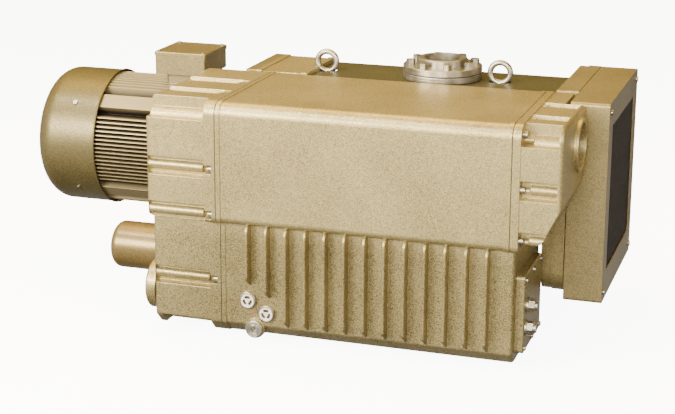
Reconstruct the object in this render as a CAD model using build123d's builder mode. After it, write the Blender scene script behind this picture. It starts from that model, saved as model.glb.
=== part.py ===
from build123d import *
import os
from math import cos, pi, radians, sin

# Oil-sealed rotary vane vacuum pump, direct driven and air cooled.
# Millimetres. +X runs along the shaft to the cooler, +Y to the rear, +Z up.
# The origin is on the floor, at the middle of the machine's length and depth.

os.makedirs("parts", exist_ok=True)

# ---------------------------------------------------------------- driving dimensions
# Separator: the casting with the oil sump below and the exhaust filters above
box_length = 776.0  # between the machined faces for the two end covers
box_height = 637.0  # sump underside to top
box_depth = 432.0  # front panel to the rear edge of the top
rear_wall_depth = 355.0  # front panel to the rear wall
shelf_thickness = 47.0  # top shelf that reaches back over the pump
chamber_height = 326.0  # upper chamber, which overhangs the sump panel
panel_setback = 34.0  # sump panel behind the front panel
box_wall = 12.0
rim_width = 12.0
rim_proud = 2.0
top_radius = 34.0
overhang_radius = 20.0
sump_chamfer = 30.0
gasket = 2.0

rib_count = 13
rib_thickness = 9.0
rib_proud = 28.0
rib_left_margin = 80.0
rib_right_margin = 57.0
rib_end = 35.0  # height of a full rib's lower end above the sump underside
short_rib_ends = (142.0, 111.0)  # the first ribs stop above the sight glasses

# End covers
cover_length = 193.0
cover_flange = 30.0
cover_wall = 10.0
exhaust_length = 125.0
exhaust_flange = 20.0
exhaust_body_depth = 295.0  # front panel to the rear of the exhaust cover's body
port_outer = 140.0
port_bore = 116.0
port_proud = 10.0
port_setback = 212.0  # behind the front panel
port_drop = 87.0  # below the top

# Shaft line, shared by motor, coupling, pump and cooling fan
shaft_setback = 560.0  # behind the front panel
shaft_height = 380.0  # above the sump underside
foot_height = 20.0

# Pump stage
rotor_radius = 120.85
bore_radius = 145.0
cylinder_length = 522.0
cylinder_radius = 185.0
seal_gap = 0.15  # rotor to bore at the sealing line
end_gap = 0.2
vane_thickness = 10.0
vane_depth = 50.0
vane_angles = (90.0, 210.0, 330.0)  # from the sealing line
journal_radius = 30.0
bearing_radius = 55.0
running_clearance = 0.05
drive_cover_thickness = 36.0
fan_cover_thickness = 28.0
drive_cover_start = 100.0  # behind the separator's left machined face

# Inlet
inlet_station = 457.0  # right of the separator's left machined face
inlet_bore = 105.0
inlet_flange_diameter = 220.0
inlet_bolt_circle = 180.0
inlet_bolt_count = 8
inlet_bolt = 16.0
inlet_flange_thickness = 18.0
inlet_ring_diameter = 138.0
inlet_ring_height = 20.0
inlet_rise = 9.0  # flange underside above the top of the separator

# Motor and coupling
motor_gap = 52.0  # motor flange face left of the separator's left machined face
motor_flange = 30.0
motor_length = 470.0
frame_radius = 155.0
fin_reach = 193.0
fin_pitch = 12.3
fin_thickness = 3.6
cowl_radius = 199.0
cowl_length = 196.0
cowl_overlap = 21.0  # cowl over the motor frame
cowl_sheet = 3.0
motor_shaft_radius = 27.5
stator_length = 240.0

# Cooler
cooler_gap = 86.0  # cooler left of the separator's right machined face
cooler_thickness = 102.0
cooler_depth = 506.0
cooler_height = 538.0
sheet = 3.0
screw_head = 5.0
fan_radius = 172.0

# ---------------------------------------------------------------- stations worked out
# X, from the separator's left machined face
left_reach = motor_gap + motor_flange + motor_length + cowl_length - cowl_overlap
right_reach = box_length + cooler_gap + cooler_thickness + screw_head
box_x0 = (left_reach - right_reach) / 2
box_x1 = box_x0 + box_length
cover_x1 = box_x0 - gasket
cover_x0 = cover_x1 - cover_length
exhaust_x0 = box_x1 + gasket
exhaust_x1 = exhaust_x0 + exhaust_length
cylinder_x0 = box_x0 + drive_cover_start + drive_cover_thickness
cylinder_x1 = cylinder_x0 + cylinder_length
drive_cover_x0 = cylinder_x0 - drive_cover_thickness
fan_cover_x1 = cylinder_x1 + fan_cover_thickness
flange_x1 = box_x0 - motor_gap
flange_x0 = flange_x1 - motor_flange
frame_x1 = flange_x0
frame_x0 = frame_x1 - motor_length
cowl_x1 = frame_x0 + cowl_overlap
cowl_x0 = cowl_x1 - cowl_length
cooler_x0 = box_x1 + cooler_gap
cooler_x1 = cooler_x0 + cooler_thickness
inlet_x = box_x0 + inlet_station

# Y, from the front panel
overall_depth = shaft_setback + cooler_depth / 2
front = -overall_depth / 2
shaft_y = front + shaft_setback
panel = front + panel_setback
rear_wall = front + rear_wall_depth
box_rear = front + box_depth
cooler_y0 = shaft_y - cooler_depth / 2
cooler_y1 = shaft_y + cooler_depth / 2

# Z, from the floor
sump = foot_height
shaft_z = sump + shaft_height
top = sump + box_height
overhang = top - chamber_height
shelf = top - shelf_thickness

# Bore centre: the rotor touches the bore on a line towards the front and top
eccentricity = bore_radius - rotor_radius - seal_gap
seal_direction = 135.0  # degrees from +Y towards +Z
bore_y = shaft_y - eccentricity * cos(radians(seal_direction))
bore_z = shaft_z - eccentricity * sin(radians(seal_direction))


def across(y):
    """Plane facing the front at a given Y, with X to the right and Z up."""
    return Plane.XZ.offset(-y)


def polar(y, z, radius, angle):
    """A point in the YZ plane, the angle counted from +Y towards +Z."""
    return (y + radius * cos(radians(angle)), z + radius * sin(radians(angle)))


def polar3(angle):
    """The direction across the shaft at an angle counted from +Y towards +Z."""
    return (0, cos(radians(angle)), sin(radians(angle)))


def separator_outline(inset=0.0):
    """The separator's outline in the YZ plane, drawn inset from its rims."""
    low, high = sump + inset, top - inset
    shelf_round = 0.4 * (shelf_thickness - 2 * inset)
    corners = [
        (panel + inset + sump_chamfer, low, 12),
        (panel + inset, low + sump_chamfer, 12),
        (panel + inset, overhang + inset, 4),
        (front + inset, overhang + inset, overhang_radius - inset / 2),
        (front + inset, high, top_radius - inset),
        (box_rear - inset, high, min(8, shelf_round)),
        (box_rear - inset, shelf + inset, min(4, shelf_round)),
        (rear_wall - inset, shelf + inset, 6),
        (rear_wall - inset, low, 8),
    ]
    with BuildSketch() as outline:
        with BuildLine():
            FilletPolyline(*[(y, z) for y, z, r in corners], radius=[r for y, z, r in corners], close=True)
        make_face()
    return outline.sketch


def upper_outline(inset=0.0, rear=rear_wall):
    """The upper chamber's part of that outline, for the exhaust cover."""
    low, high = overhang + inset, top - inset
    shelf_round = 0.4 * (shelf_thickness - 2 * inset)
    corners = [
        (front + inset, low, overhang_radius - inset / 2),
        (front + inset, high, top_radius - inset),
        (box_rear - inset, high, min(8, shelf_round)),
        (box_rear - inset, shelf + inset, min(4, shelf_round)),
        (rear - inset, shelf + inset, 6),
        (rear - inset, low, 8),
    ]
    with BuildSketch() as outline:
        with BuildLine():
            FilletPolyline(*[(y, z) for y, z, r in corners], radius=[r for y, z, r in corners], close=True)
        make_face()
    return outline.sketch


# ---------------------------------------------------------------- cover bolts
# Cover screws lie in channels cut lengthways into the covers' skins. Each channel has a
# half-round ridge on its floor, which stops short of the screw's head.
cover_screw = 12.0
cover_head = 18.0
channel_width = 50.0
channel_depth = 22.0
ridge_radius = 13.0
screw_inset = 12.5  # screw axis below the skin
head_space = 24.0  # room for a head between ridge and flange

left_front_screws = [(front, top - drop) for drop in (180.0, 302.0)]
left_panel_screws = [(panel, sump + height) for height in (147.0,)]
right_front_screws = [(front, top - drop) for drop in (162.0, 292.0)]
left_top_screws = [front + depth for depth in (275.0, 137.0)]
right_top_screws = [front + depth for depth in (268.0, 120.0)]
corner_screw = (front + 26.0, top - 26.0)
left_corner_low = (panel + 36.0, sump + 20.0)
left_screw_axes = (
    [(y + screw_inset, z) for y, z in left_front_screws + left_panel_screws]
    + [(y, top - screw_inset) for y in left_top_screws]
    + [corner_screw, left_corner_low]
)
right_screw_axes = (
    [(y + screw_inset, z) for y, z in right_front_screws]
    + [(y, top - screw_inset) for y in right_top_screws]
    + [corner_screw]
)
head_seat = 10.0  # flange left under a screw's head
screw_clearance = 0.4
thread_clearance = 0.1


def front_channels(skins, x0, x1):
    """Channels in a front skin: troughs from x0 to x1, centred on each (Y, Z)."""
    with BuildPart() as troughs:
        for y, z in skins:
            with BuildSketch(across(y - 1)):
                with Locations(((x0 + x1) / 2, z)):
                    Rectangle(abs(x1 - x0), channel_width)
            extrude(amount=-(channel_depth + 1), taper=8)
    return troughs.part


def top_channels(stations, x0, x1):
    """Channels in the top skin: troughs from x0 to x1, centred on each Y."""
    with BuildPart() as troughs:
        for y in stations:
            with BuildSketch(Plane.XY.offset(top + 1)):
                with Locations(((x0 + x1) / 2, y)):
                    Rectangle(abs(x1 - x0), channel_width)
            extrude(amount=-(channel_depth + 1), taper=8)
    return troughs.part


def cap_screw(x, y, z, length, head_diameter, shank_diameter, head_height, way=1):
    """A socket head screw along X, its head's underside at x, shank running way * +X."""
    with BuildPart() as screw:
        with BuildSketch(Plane.YZ.offset(x)):
            with Locations((y, z)):
                Circle(head_diameter / 2)
                RegularPolygon(head_diameter * 0.29, 6, mode=Mode.SUBTRACT)
        extrude(amount=-way * head_height)
        with BuildSketch(Plane.YZ.offset(x)):
            with Locations((y, z)):
                Circle(head_diameter / 2)
        extrude(amount=-way * head_height * 0.45)
        with BuildSketch(Plane.YZ.offset(x)):
            with Locations((y, z)):
                Circle(shank_diameter / 2)
        extrude(amount=way * length)
    return screw.part


# ---------------------------------------------------------------- separator housing
filter_axes = [(front + y, top - drop) for y in (104.0, 236.0) for drop in (104.0, 230.0)]
filter_radius = 54.0
filter_flange_radius = 62.0
filter_length = 560.0
discharge_width = 330.0
discharge_low = shaft_z - 62.0
discharge_high = shaft_z + 48.0
discharge_x = cylinder_x0 + cylinder_length / 2

sight_glass_diameter = 46.0
sight_glass_thread = 34.0
sight_glasses = [(box_x0 + 75.0, sump + 102.0), (box_x0 + 127.0, sump + 70.0)]
drain = (box_x0 + 95.0, sump + 26.0)
drain_diameter = 48.0
drain_thread = 26.0
drain_boss = 54.0
drain_boss_proud = 4.0
screw_boss = 16.0
screw_boss_length = 40.0

sump_nose = 10.0  # sump wall beyond the upper chamber's machined face
sump_x1 = box_x1 + sump_nose
sump_plate_thickness = 23.0
plate_y0, plate_y1 = front + 57.0, front + 272.0
plate_z0, plate_z1 = sump + 32.0, sump + 239.0
plate_margin = 13.0
plug_axes = [(front + 100.0, sump + 150.0), (front + 86.0, sump + 95.0)]
plug_thread = 21.0
front_foot_depth = 160.0
foot_radius = 34.0
foot_stud = 12.0
feet_front = [(box_x0 + 90.0, front + front_foot_depth), (box_x1 - 76.0, front + front_foot_depth)]
rib_pitch = (box_length - rib_left_margin - rib_right_margin) / (rib_count - 1)


def rib(x, lower_end):
    """One rib: a vertical plate on the sump panel, its lower end swept up in a curve."""
    nose = panel - rib_proud
    with BuildPart() as plate:
        with BuildSketch(Plane.YZ.offset(x - rib_thickness / 2)):
            with BuildLine():
                FilletPolyline(
                    (panel + 4, overhang + 6),
                    (nose, overhang + 6),
                    (nose, lower_end + 0.8 * rib_proud),
                    (panel + 4, lower_end),
                    radius=[0.9 * rib_proud, 0.45 * rib_proud],
                )
                Line((panel + 4, lower_end), (panel + 4, overhang + 6))
            make_face()
        extrude(amount=rib_thickness)
        nose_edges = plate.edges().filter_by(Axis.Z).group_by(Axis.Y)[0]
        fillet(nose_edges, rib_thickness * 0.4)
    return plate.part


with BuildPart() as separator_housing:
    # The casting: a body between two rims that stand a little proud of it
    with BuildSketch(Plane.YZ.offset(box_x0)):
        add(separator_outline())
    extrude(amount=rim_width)
    with BuildSketch(Plane.YZ.offset(box_x0 + rim_width)):
        add(separator_outline(rim_proud))
    extrude(amount=box_length - rim_width)
    with BuildSketch(Plane.YZ.offset(box_x1 - rim_width)):
        add(upper_outline())
    extrude(amount=rim_width)
    # The sump's right end wall stands out below the exhaust cover
    with BuildSketch(Plane.YZ.offset(box_x1 - rim_width)):
        add(separator_outline(rim_proud))
        with Locations((front, sump)):
            Rectangle(2 * box_depth, 2 * (overhang - sump - 6), mode=Mode.INTERSECT)
    extrude(amount=rim_width + sump_nose)
    corner = separator_housing.edges().filter_by(Axis.Z).group_by(Axis.X)[-1].sort_by(Axis.Y)[0]
    fillet(corner, 9)
    with BuildSketch(across(panel - drain_boss_proud)):
        with Locations(drain):
            Circle(drain_boss / 2)
    extrude(amount=-drain_boss_proud - 40)
    ribs = [
        rib(box_x0 + rib_left_margin + n * rib_pitch, sump + end)
        for n, end in enumerate(list(short_rib_ends) + [rib_end] * (rib_count - len(short_rib_ends)))
    ]
    add(ribs)
    # The hollow, open to the left, with a wall left standing at the right
    with BuildSketch(Plane.YZ.offset(box_x0)):
        add(separator_outline(box_wall + rim_proud))
    extrude(amount=box_length - box_wall, mode=Mode.SUBTRACT)
    # Bosses behind the rims for the covers' screws
    with BuildSketch(Plane.YZ.offset(box_x0 + 1)):
        with Locations(*left_screw_axes):
            Circle(screw_boss)
        add(separator_outline(box_wall), mode=Mode.INTERSECT)
    extrude(amount=screw_boss_length)
    with BuildSketch(Plane.YZ.offset(box_x1 - 1)):
        with Locations(*right_screw_axes):
            Circle(screw_boss)
        add(separator_outline(box_wall), mode=Mode.INTERSECT)
    extrude(amount=-screw_boss_length)
    # Holes for the exhaust filters, which hang from the right wall
    with BuildSketch(Plane.YZ.offset(box_x1)):
        with Locations(*filter_axes):
            Circle(filter_radius + 1)
    extrude(amount=-2 * box_wall, mode=Mode.SUBTRACT)
    # The window that the pump stage discharges through
    with BuildSketch(across(rear_wall)):
        with Locations((discharge_x, (discharge_low + discharge_high) / 2)):
            RectangleRounded(discharge_width, discharge_high - discharge_low, 16)
    extrude(amount=3 * box_wall, both=True, mode=Mode.SUBTRACT)
    # Level windows, drain and plugs
    with BuildSketch(across(panel)):
        with Locations(*sight_glasses):
            Circle(sight_glass_thread / 2)
    extrude(amount=2 * box_wall, both=True, mode=Mode.SUBTRACT)
    with BuildSketch(across(panel - drain_boss_proud)):
        with Locations(drain):
            Circle(drain_thread / 2)
    extrude(amount=-drain_boss_proud - 60, mode=Mode.SUBTRACT)
    with BuildSketch(Plane.YZ.offset(sump_x1)):
        with Locations(*plug_axes):
            Circle(plug_thread / 2 + 1)
    extrude(amount=-3 * box_wall, mode=Mode.SUBTRACT)
    # Tapped holes for the two end covers and the feet
    with BuildSketch(Plane.YZ.offset(box_x0)):
        with Locations(*left_screw_axes):
            Circle(cover_screw / 2 + thread_clearance)
    extrude(amount=30, mode=Mode.SUBTRACT)
    with BuildSketch(Plane.YZ.offset(box_x1)):
        with Locations(*right_screw_axes):
            Circle(cover_screw / 2 + thread_clearance)
    extrude(amount=-30, mode=Mode.SUBTRACT)
    with BuildSketch(Plane.XY.offset(sump)):
        with Locations(*feet_front):
            Circle(foot_stud / 2 + thread_clearance)
    extrude(amount=box_wall + 4, mode=Mode.SUBTRACT)
separator_housing.part.label = "separator_housing"
export_step(separator_housing.part, "parts/separator_housing.step")


# ---------------------------------------------------------------- left end cover
filter_axis = (front + 240.0, sump + 150.0)  # spin-on oil filter
float_axis = (front + 102.0, sump + 98.0)  # float chamber
float_cover_radius = 68.0
float_cover_thickness = 30.0
canister_radius = 66.0
canister_length = 198.0
nipple_radius = 14.0
corner_notch = 52.0
foot_notch_depth = 72.0
foot_notch_height = 34.0
channel_back = 8.0
left_flange_face = cover_x1 - cover_flange


def corner_blocks(x0, x1, size):
    """A block along the top front corner, from x0 to x1."""
    with BuildPart() as block:
        with BuildSketch(Plane.YZ.offset(x0)):
            with Locations((front - 1, top + 1)):
                RectangleRounded(2 * size + 2, 2 * size + 2, 10)
        extrude(amount=x1 - x0)
    return block.part


def lower_block(x0, x1, depth, height):
    """A block along the bottom front edge of the sump part, from x0 to x1."""
    with BuildPart() as block:
        with BuildSketch(Plane.YZ.offset(x0)):
            with Locations((panel - 1, sump - 1)):
                RectangleRounded(2 * depth + 2, 2 * height + 2, 8)
        extrude(amount=x1 - x0)
    return block.part


def ridges(x0, x1, front_skins, top_stations):
    """Half-round ridges on the channels' floors, and a round one along the corner notch."""
    axes = [(y + channel_depth, z) for y, z in front_skins]
    axes += [(y, top - channel_depth) for y in top_stations]
    with BuildPart() as rods:
        with BuildSketch(Plane.YZ.offset(x0)):
            with Locations(*axes):
                Circle(ridge_radius)
            with Locations((front + corner_notch, top - corner_notch)):
                Circle(1.6 * ridge_radius)
        extrude(amount=x1 - x0)
        fillet(rods.edges().group_by(Axis.X)[0], 4)
        fillet(rods.edges().group_by(Axis.X)[-1], 4)
    return rods.part


left_skins = left_front_screws + left_panel_screws
with BuildPart() as left_hollow:
    with BuildSketch(Plane.YZ.offset(cover_x0 + cover_wall)):
        add(separator_outline(box_wall + rim_proud))
    extrude(amount=cover_length)
    with BuildSketch(Plane.YZ.offset(cover_x0)):
        for y, z in left_skins:
            with Locations((y + (channel_depth + channel_back) / 2, z)):
                Rectangle(channel_depth + channel_back, channel_width + 2 * channel_back)
        for y in left_top_screws:
            with Locations((y, top - (channel_depth + channel_back) / 2)):
                Rectangle(channel_width + 2 * channel_back, channel_depth + channel_back)
        with Locations((front, top)):
            Rectangle(2 * (corner_notch + channel_back), 2 * (corner_notch + channel_back))
        with Locations((panel, sump)):
            Rectangle(2 * (foot_notch_depth + channel_back), 2 * (foot_notch_height + channel_back))
    extrude(amount=2 * cover_length, mode=Mode.SUBTRACT)

with BuildPart() as left_end_cover:
    with BuildSketch(Plane.YZ.offset(cover_x1)):
        add(separator_outline())
    extrude(amount=-cover_flange)
    with BuildSketch(Plane.YZ.offset(left_flange_face)):
        add(separator_outline(rim_proud))
    extrude(amount=-(cover_length - cover_flange))
    fillet(left_end_cover.edges().group_by(Axis.X)[0], 9)
    add(left_hollow.part, mode=Mode.SUBTRACT)
    head_face = cover_x1 - head_seat
    add(front_channels(left_skins, cover_x0 - 1, left_flange_face), mode=Mode.SUBTRACT)
    add(top_channels(left_top_screws, cover_x0 - 1, left_flange_face), mode=Mode.SUBTRACT)
    add(corner_blocks(cover_x0 - 1, left_flange_face, corner_notch), mode=Mode.SUBTRACT)
    add(
        lower_block(cover_x0 + 20, left_flange_face, foot_notch_depth, foot_notch_height),
        mode=Mode.SUBTRACT,
    )
    add(ridges(cover_x0, left_flange_face - 6, left_skins, left_top_screws))
    # Pockets in the flange for the screws' heads, and the holes for their shanks
    with BuildSketch(Plane.YZ.offset(head_face)):
        with Locations(*left_screw_axes):
            Circle(cover_head / 2 + 2)
        for y, z in left_skins:
            with Locations((y, z)):
                Rectangle(2 * screw_inset, cover_head + 4)
        for y in left_top_screws:
            with Locations((y, top)):
                Rectangle(cover_head + 4, 2 * screw_inset)
    extrude(amount=-(cover_flange - head_seat + 4), mode=Mode.SUBTRACT)
    with BuildSketch(Plane.YZ.offset(cover_x1)):
        with Locations(*left_screw_axes):
            Circle(cover_screw / 2 + screw_clearance)
    extrude(amount=-cover_flange, mode=Mode.SUBTRACT)
    # Seats for the oil filter and the float chamber's cover
    with BuildSketch(Plane.YZ.offset(cover_x0 - 6)):
        with Locations(filter_axis):
            Circle(canister_radius - 14)
    extrude(amount=6 + cover_wall)
    with BuildSketch(Plane.YZ.offset(cover_x0 - 10)):
        with Locations(filter_axis):
            Circle(nipple_radius + running_clearance)
    extrude(amount=40, mode=Mode.SUBTRACT)
    with BuildSketch(Plane.YZ.offset(cover_x0 - 10)):
        with Locations(float_axis):
            Circle(float_cover_radius - 18)
    extrude(amount=40, mode=Mode.SUBTRACT)
left_end_cover.part.label = "left_end_cover"
export_step(left_end_cover.part, "parts/left_end_cover.step")

# ---------------------------------------------------------------- gaskets and screws of the left cover
with BuildPart() as left_cover_gasket:
    with BuildSketch(Plane.YZ.offset(cover_x1)):
        add(separator_outline(rim_proud))
        add(separator_outline(box_wall + rim_proud), mode=Mode.SUBTRACT)
        with Locations(*left_screw_axes):
            Circle(screw_boss)
        add(separator_outline(rim_proud), mode=Mode.INTERSECT)
        with Locations(*left_screw_axes):
            Circle(cover_screw / 2 + screw_clearance, mode=Mode.SUBTRACT)
    extrude(amount=gasket)
left_cover_gasket.part.label = "left_cover_gasket"
export_step(left_cover_gasket.part, "parts/left_cover_gasket.step")

# ---------------------------------------------------------------- float chamber and oil filter
with BuildPart() as float_chamber_cover:
    with BuildSketch(Plane.YZ.offset(cover_x0)):
        with Locations(float_axis):
            Circle(float_cover_radius)
    extrude(amount=-float_cover_thickness)
    fillet(float_chamber_cover.edges().group_by(Axis.X)[0], 7)
    with BuildSketch(Plane.YZ.offset(cover_x0)):
        with Locations(float_axis):
            Circle(float_cover_radius - 18.5)
    extrude(amount=cover_wall - 2)
float_chamber_cover.part.label = "float_chamber_cover"
export_step(float_chamber_cover.part, "parts/float_chamber_cover.step")

with BuildPart() as oil_filter_canister:
    with BuildSketch(Plane.YZ.offset(cover_x0 - 6)):
        with Locations(filter_axis):
            Circle(canister_radius)
    extrude(amount=-canister_length)
    fillet(oil_filter_canister.edges().group_by(Axis.X)[0], 22)
    fillet(oil_filter_canister.edges().group_by(Axis.X)[-1], 4)
    with BuildSketch(Plane.YZ.offset(cover_x0 - 30)):
        with Locations(filter_axis):
            Circle(nipple_radius)
    extrude(amount=30 + cover_wall + 12)
oil_filter_canister.part.label = "oil_filter_canister"
export_step(oil_filter_canister.part, "parts/oil_filter_canister.step")

float_pivot = (cover_x0 + 26.0, float_axis[1] + 14)
float_centre = (cover_x0 + 118.0, float_axis[1] - 6)
float_ball = 30.0
float_pin = 3.0
float_fork = 26.0  # outside width of the pivot's two ears
with BuildPart() as float_bracket:
    with BuildSketch(Plane.YZ.offset(cover_x0 + cover_wall - 2)):
        with Locations((float_axis[0], float_pivot[1])):
            Rectangle(float_fork, 30)
    extrude(amount=4)
    with BuildSketch(across(float_axis[0])):
        with Locations((float_pivot[0] - 4, float_pivot[1])):
            Rectangle(22, 14)
        with Locations(float_pivot):
            Circle(float_pin + running_clearance, mode=Mode.SUBTRACT)
    extrude(amount=float_fork / 2, both=True)
    with BuildSketch(across(float_axis[0])):
        with Locations((float_pivot[0] + 3, float_pivot[1])):
            Rectangle(22, 16)
    extrude(amount=float_fork / 2 - 5, both=True, mode=Mode.SUBTRACT)
float_bracket.part.label = "float_bracket"
export_step(float_bracket.part, "parts/float_bracket.step")

with BuildPart() as float_arm:
    with BuildSketch(across(float_axis[0])):
        with Locations(float_pivot):
            Circle(6)
        with BuildLine():
            Polyline(
                (float_pivot[0], float_pivot[1] + 4),
                (float_centre[0], float_centre[1] + 4),
                (float_centre[0], float_centre[1] - 4),
                (float_pivot[0], float_pivot[1] - 4),
                close=True,
            )
        make_face()
    extrude(amount=float_fork / 2 - 6, both=True)
    with BuildSketch(across(float_axis[0])):
        with Locations(float_pivot):
            Circle(float_pin)
    extrude(amount=float_fork / 2 + 2, both=True)
    with Locations((float_centre[0], float_axis[0], float_centre[1])):
        Sphere(float_ball)
float_arm.part.label = "float_arm"
export_step(float_arm.part, "parts/float_arm.step")

# ---------------------------------------------------------------- exhaust cover
port_y = front + port_setback
port_z = top - port_drop
shelf_reach = 75.0  # how far the rear of the cover's top runs beside the cooler
exhaust_knee = 197.0  # the front starts to taper this far below the top


def exhaust_body(inset, start):
    """The exhaust cover's body, from start to its end wall, drawn inset from its skin."""
    inner_x1 = exhaust_x1 - inset + rim_proud
    low = overhang + 22 + inset
    knee = top - exhaust_knee + inset
    with BuildPart() as body:
        with BuildSketch(Plane.YZ.offset(start)):
            add(upper_outline(inset, rear=front + exhaust_body_depth))
        extrude(amount=inner_x1 - start)
        # The rear of the top stops short of the cooler
        with BuildSketch(Plane.XY.offset(top + 1)):
            with Locations((exhaust_x0 + shelf_reach - inset, box_rear + 1)):
                Rectangle(
                    exhaust_length,
                    box_rear + 1 - front - exhaust_body_depth + inset,
                    align=(Align.MIN, Align.MAX),
                )
        extrude(amount=-box_height, mode=Mode.SUBTRACT)
        # The front tapers towards the cover's lower edge
        with BuildSketch(across(front - 1)):
            with BuildLine():
                Polyline(
                    (exhaust_x0 + exhaust_flange, overhang - 1),
                    (exhaust_x0 + exhaust_flange, low),
                    (exhaust_x0 + 64 - inset / 2, low),
                    (exhaust_x0 + 78 - inset / 2, low + 8),
                    (inner_x1 + 1, knee),
                    (inner_x1 + 1, overhang - 1),
                    close=True,
                )
            make_face()
        extrude(amount=-(box_depth + 2), mode=Mode.SUBTRACT)
    return body.part


with BuildPart() as exhaust_hollow:
    add(exhaust_body(cover_wall + rim_proud, exhaust_x0 + 12))
    with BuildSketch(Plane.YZ.offset(exhaust_x0 - 1)):
        add(upper_outline(18))
    extrude(amount=14)
    with BuildSketch(Plane.YZ.offset(exhaust_x0 - 2)):
        for y, z in right_front_screws:
            with Locations((y + (channel_depth + channel_back) / 2, z)):
                Rectangle(channel_depth + channel_back, channel_width + 2 * channel_back)
        for y in right_top_screws:
            with Locations((y, top - (channel_depth + channel_back) / 2)):
                Rectangle(channel_width + 2 * channel_back, channel_depth + channel_back)
        with Locations((front, top)):
            Rectangle(2 * (corner_notch + channel_back), 2 * (corner_notch + channel_back))
    extrude(amount=2 * exhaust_length, mode=Mode.SUBTRACT)

exhaust_flange_face = exhaust_x0 + exhaust_flange
channel_end = exhaust_x1 - 12
with BuildPart() as exhaust_ridges:
    add(ridges(exhaust_flange_face + head_space, channel_end + 2, right_front_screws, right_top_screws))
    add(exhaust_body(rim_proud, exhaust_flange_face), mode=Mode.INTERSECT)
with BuildPart() as exhaust_cover:
    with BuildSketch(Plane.YZ.offset(exhaust_x0)):
        add(upper_outline())
    extrude(amount=exhaust_flange)
    add(exhaust_body(rim_proud, exhaust_flange_face))
    fillet(exhaust_cover.edges().group_by(Axis.X)[-1], 12)
    add(exhaust_hollow.part, mode=Mode.SUBTRACT)
    add(front_channels(right_front_screws, exhaust_flange_face, channel_end), mode=Mode.SUBTRACT)
    add(top_channels(right_top_screws, exhaust_flange_face, channel_end), mode=Mode.SUBTRACT)
    add(corner_blocks(exhaust_flange_face, channel_end, corner_notch), mode=Mode.SUBTRACT)
    add(exhaust_ridges.part)
    # The exhaust port
    with BuildSketch(Plane.YZ.offset(exhaust_x1 + port_proud)):
        with Locations((port_y, port_z)):
            Circle(port_outer / 2)
    extrude(amount=-(port_proud + 24))
    with BuildSketch(Plane.YZ.offset(exhaust_x1 + port_proud + 1)):
        with Locations((port_y, port_z)):
            Circle(port_bore / 2)
    extrude(amount=-(port_proud + 60), mode=Mode.SUBTRACT)
    # Seats and holes for the screws
    with BuildSketch(Plane.YZ.offset(exhaust_flange_face)):
        with Locations(*right_screw_axes):
            Circle(cover_head / 2 + 2)
    extrude(amount=head_space - 2, mode=Mode.SUBTRACT)
    with BuildSketch(Plane.YZ.offset(exhaust_x0)):
        with Locations(*right_screw_axes):
            Circle(cover_screw / 2 + screw_clearance)
    extrude(amount=exhaust_flange, mode=Mode.SUBTRACT)
exhaust_cover.part.label = "exhaust_cover"
export_step(exhaust_cover.part, "parts/exhaust_cover.step")

with BuildPart() as exhaust_cover_gasket:
    with BuildSketch(Plane.YZ.offset(box_x1)):
        add(upper_outline(rim_proud))
        add(upper_outline(20), mode=Mode.SUBTRACT)
        with Locations(*right_screw_axes):
            Circle(cover_screw / 2 + screw_clearance, mode=Mode.SUBTRACT)
    extrude(amount=gasket)
exhaust_cover_gasket.part.label = "exhaust_cover_gasket"
export_step(exhaust_cover_gasket.part, "parts/exhaust_cover_gasket.step")

with BuildPart() as cover_screws:
    for y, z in left_screw_axes:
        add(cap_screw(cover_x1 - head_seat, y, z, head_seat + 28, cover_head, cover_screw, 12))
    for y, z in right_screw_axes:
        add(cap_screw(exhaust_flange_face, y, z, exhaust_flange + 28, cover_head, cover_screw, 12, way=-1))
cover_screws.part.label = "cover_screws"
export_step(cover_screws.part, "parts/cover_screws.step")

# ---------------------------------------------------------------- exhaust filters
with BuildPart() as exhaust_filters:
    with BuildSketch(Plane.YZ.offset(box_x1 - filter_length)):
        with Locations(*filter_axes):
            Circle(filter_radius)
    extrude(amount=filter_length)
    with BuildSketch(Plane.YZ.offset(box_x1)):
        with Locations(*filter_axes):
            Circle(filter_flange_radius - 4)
    extrude(amount=8)
    with BuildSketch(Plane.YZ.offset(box_x1 + 9)):
        with Locations(*filter_axes):
            Circle(filter_radius - 20)
    extrude(amount=-(filter_length - 12), mode=Mode.SUBTRACT)
exhaust_filters.part.label = "exhaust_filters"
export_step(exhaust_filters.part, "parts/exhaust_filters.step")

# ---------------------------------------------------------------- sump fittings
plate_screw = 8.0
plate_screw_axes = [
    (plate_y0 + plate_margin + n * (plate_y1 - plate_y0 - 2 * plate_margin) / 2, z)
    for n in range(3)
    for z in (plate_z0 + plate_margin, plate_z1 - plate_margin)
]
plate_centre = ((plate_y0 + plate_y1) / 2, (plate_z0 + plate_z1) / 2)
with BuildPart() as sump_end_plate:
    with BuildSketch(Plane.YZ.offset(sump_x1)):
        with Locations(plate_centre):
            RectangleRounded(plate_y1 - plate_y0, plate_z1 - plate_z0, 10)
    extrude(amount=sump_plate_thickness)
    chamfer(sump_end_plate.edges().group_by(Axis.X)[-1], 2)
    with BuildSketch(Plane.YZ.offset(sump_x1)):
        with Locations(*plate_screw_axes):
            Circle(plate_screw / 2 + thread_clearance)
        with Locations(*plug_axes):
            Circle(plug_thread / 2 + thread_clearance)
    extrude(amount=sump_plate_thickness, mode=Mode.SUBTRACT)
sump_end_plate.part.label = "sump_end_plate"
export_step(sump_end_plate.part, "parts/sump_end_plate.step")

with BuildPart() as sump_plate_screws:
    for y, z in plate_screw_axes:
        add(cap_screw(sump_x1 + sump_plate_thickness, y, z, 20, 13, plate_screw, 5, way=-1))
sump_plate_screws.part.label = "sump_plate_screws"
export_step(sump_plate_screws.part, "parts/sump_plate_screws.step")

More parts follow.
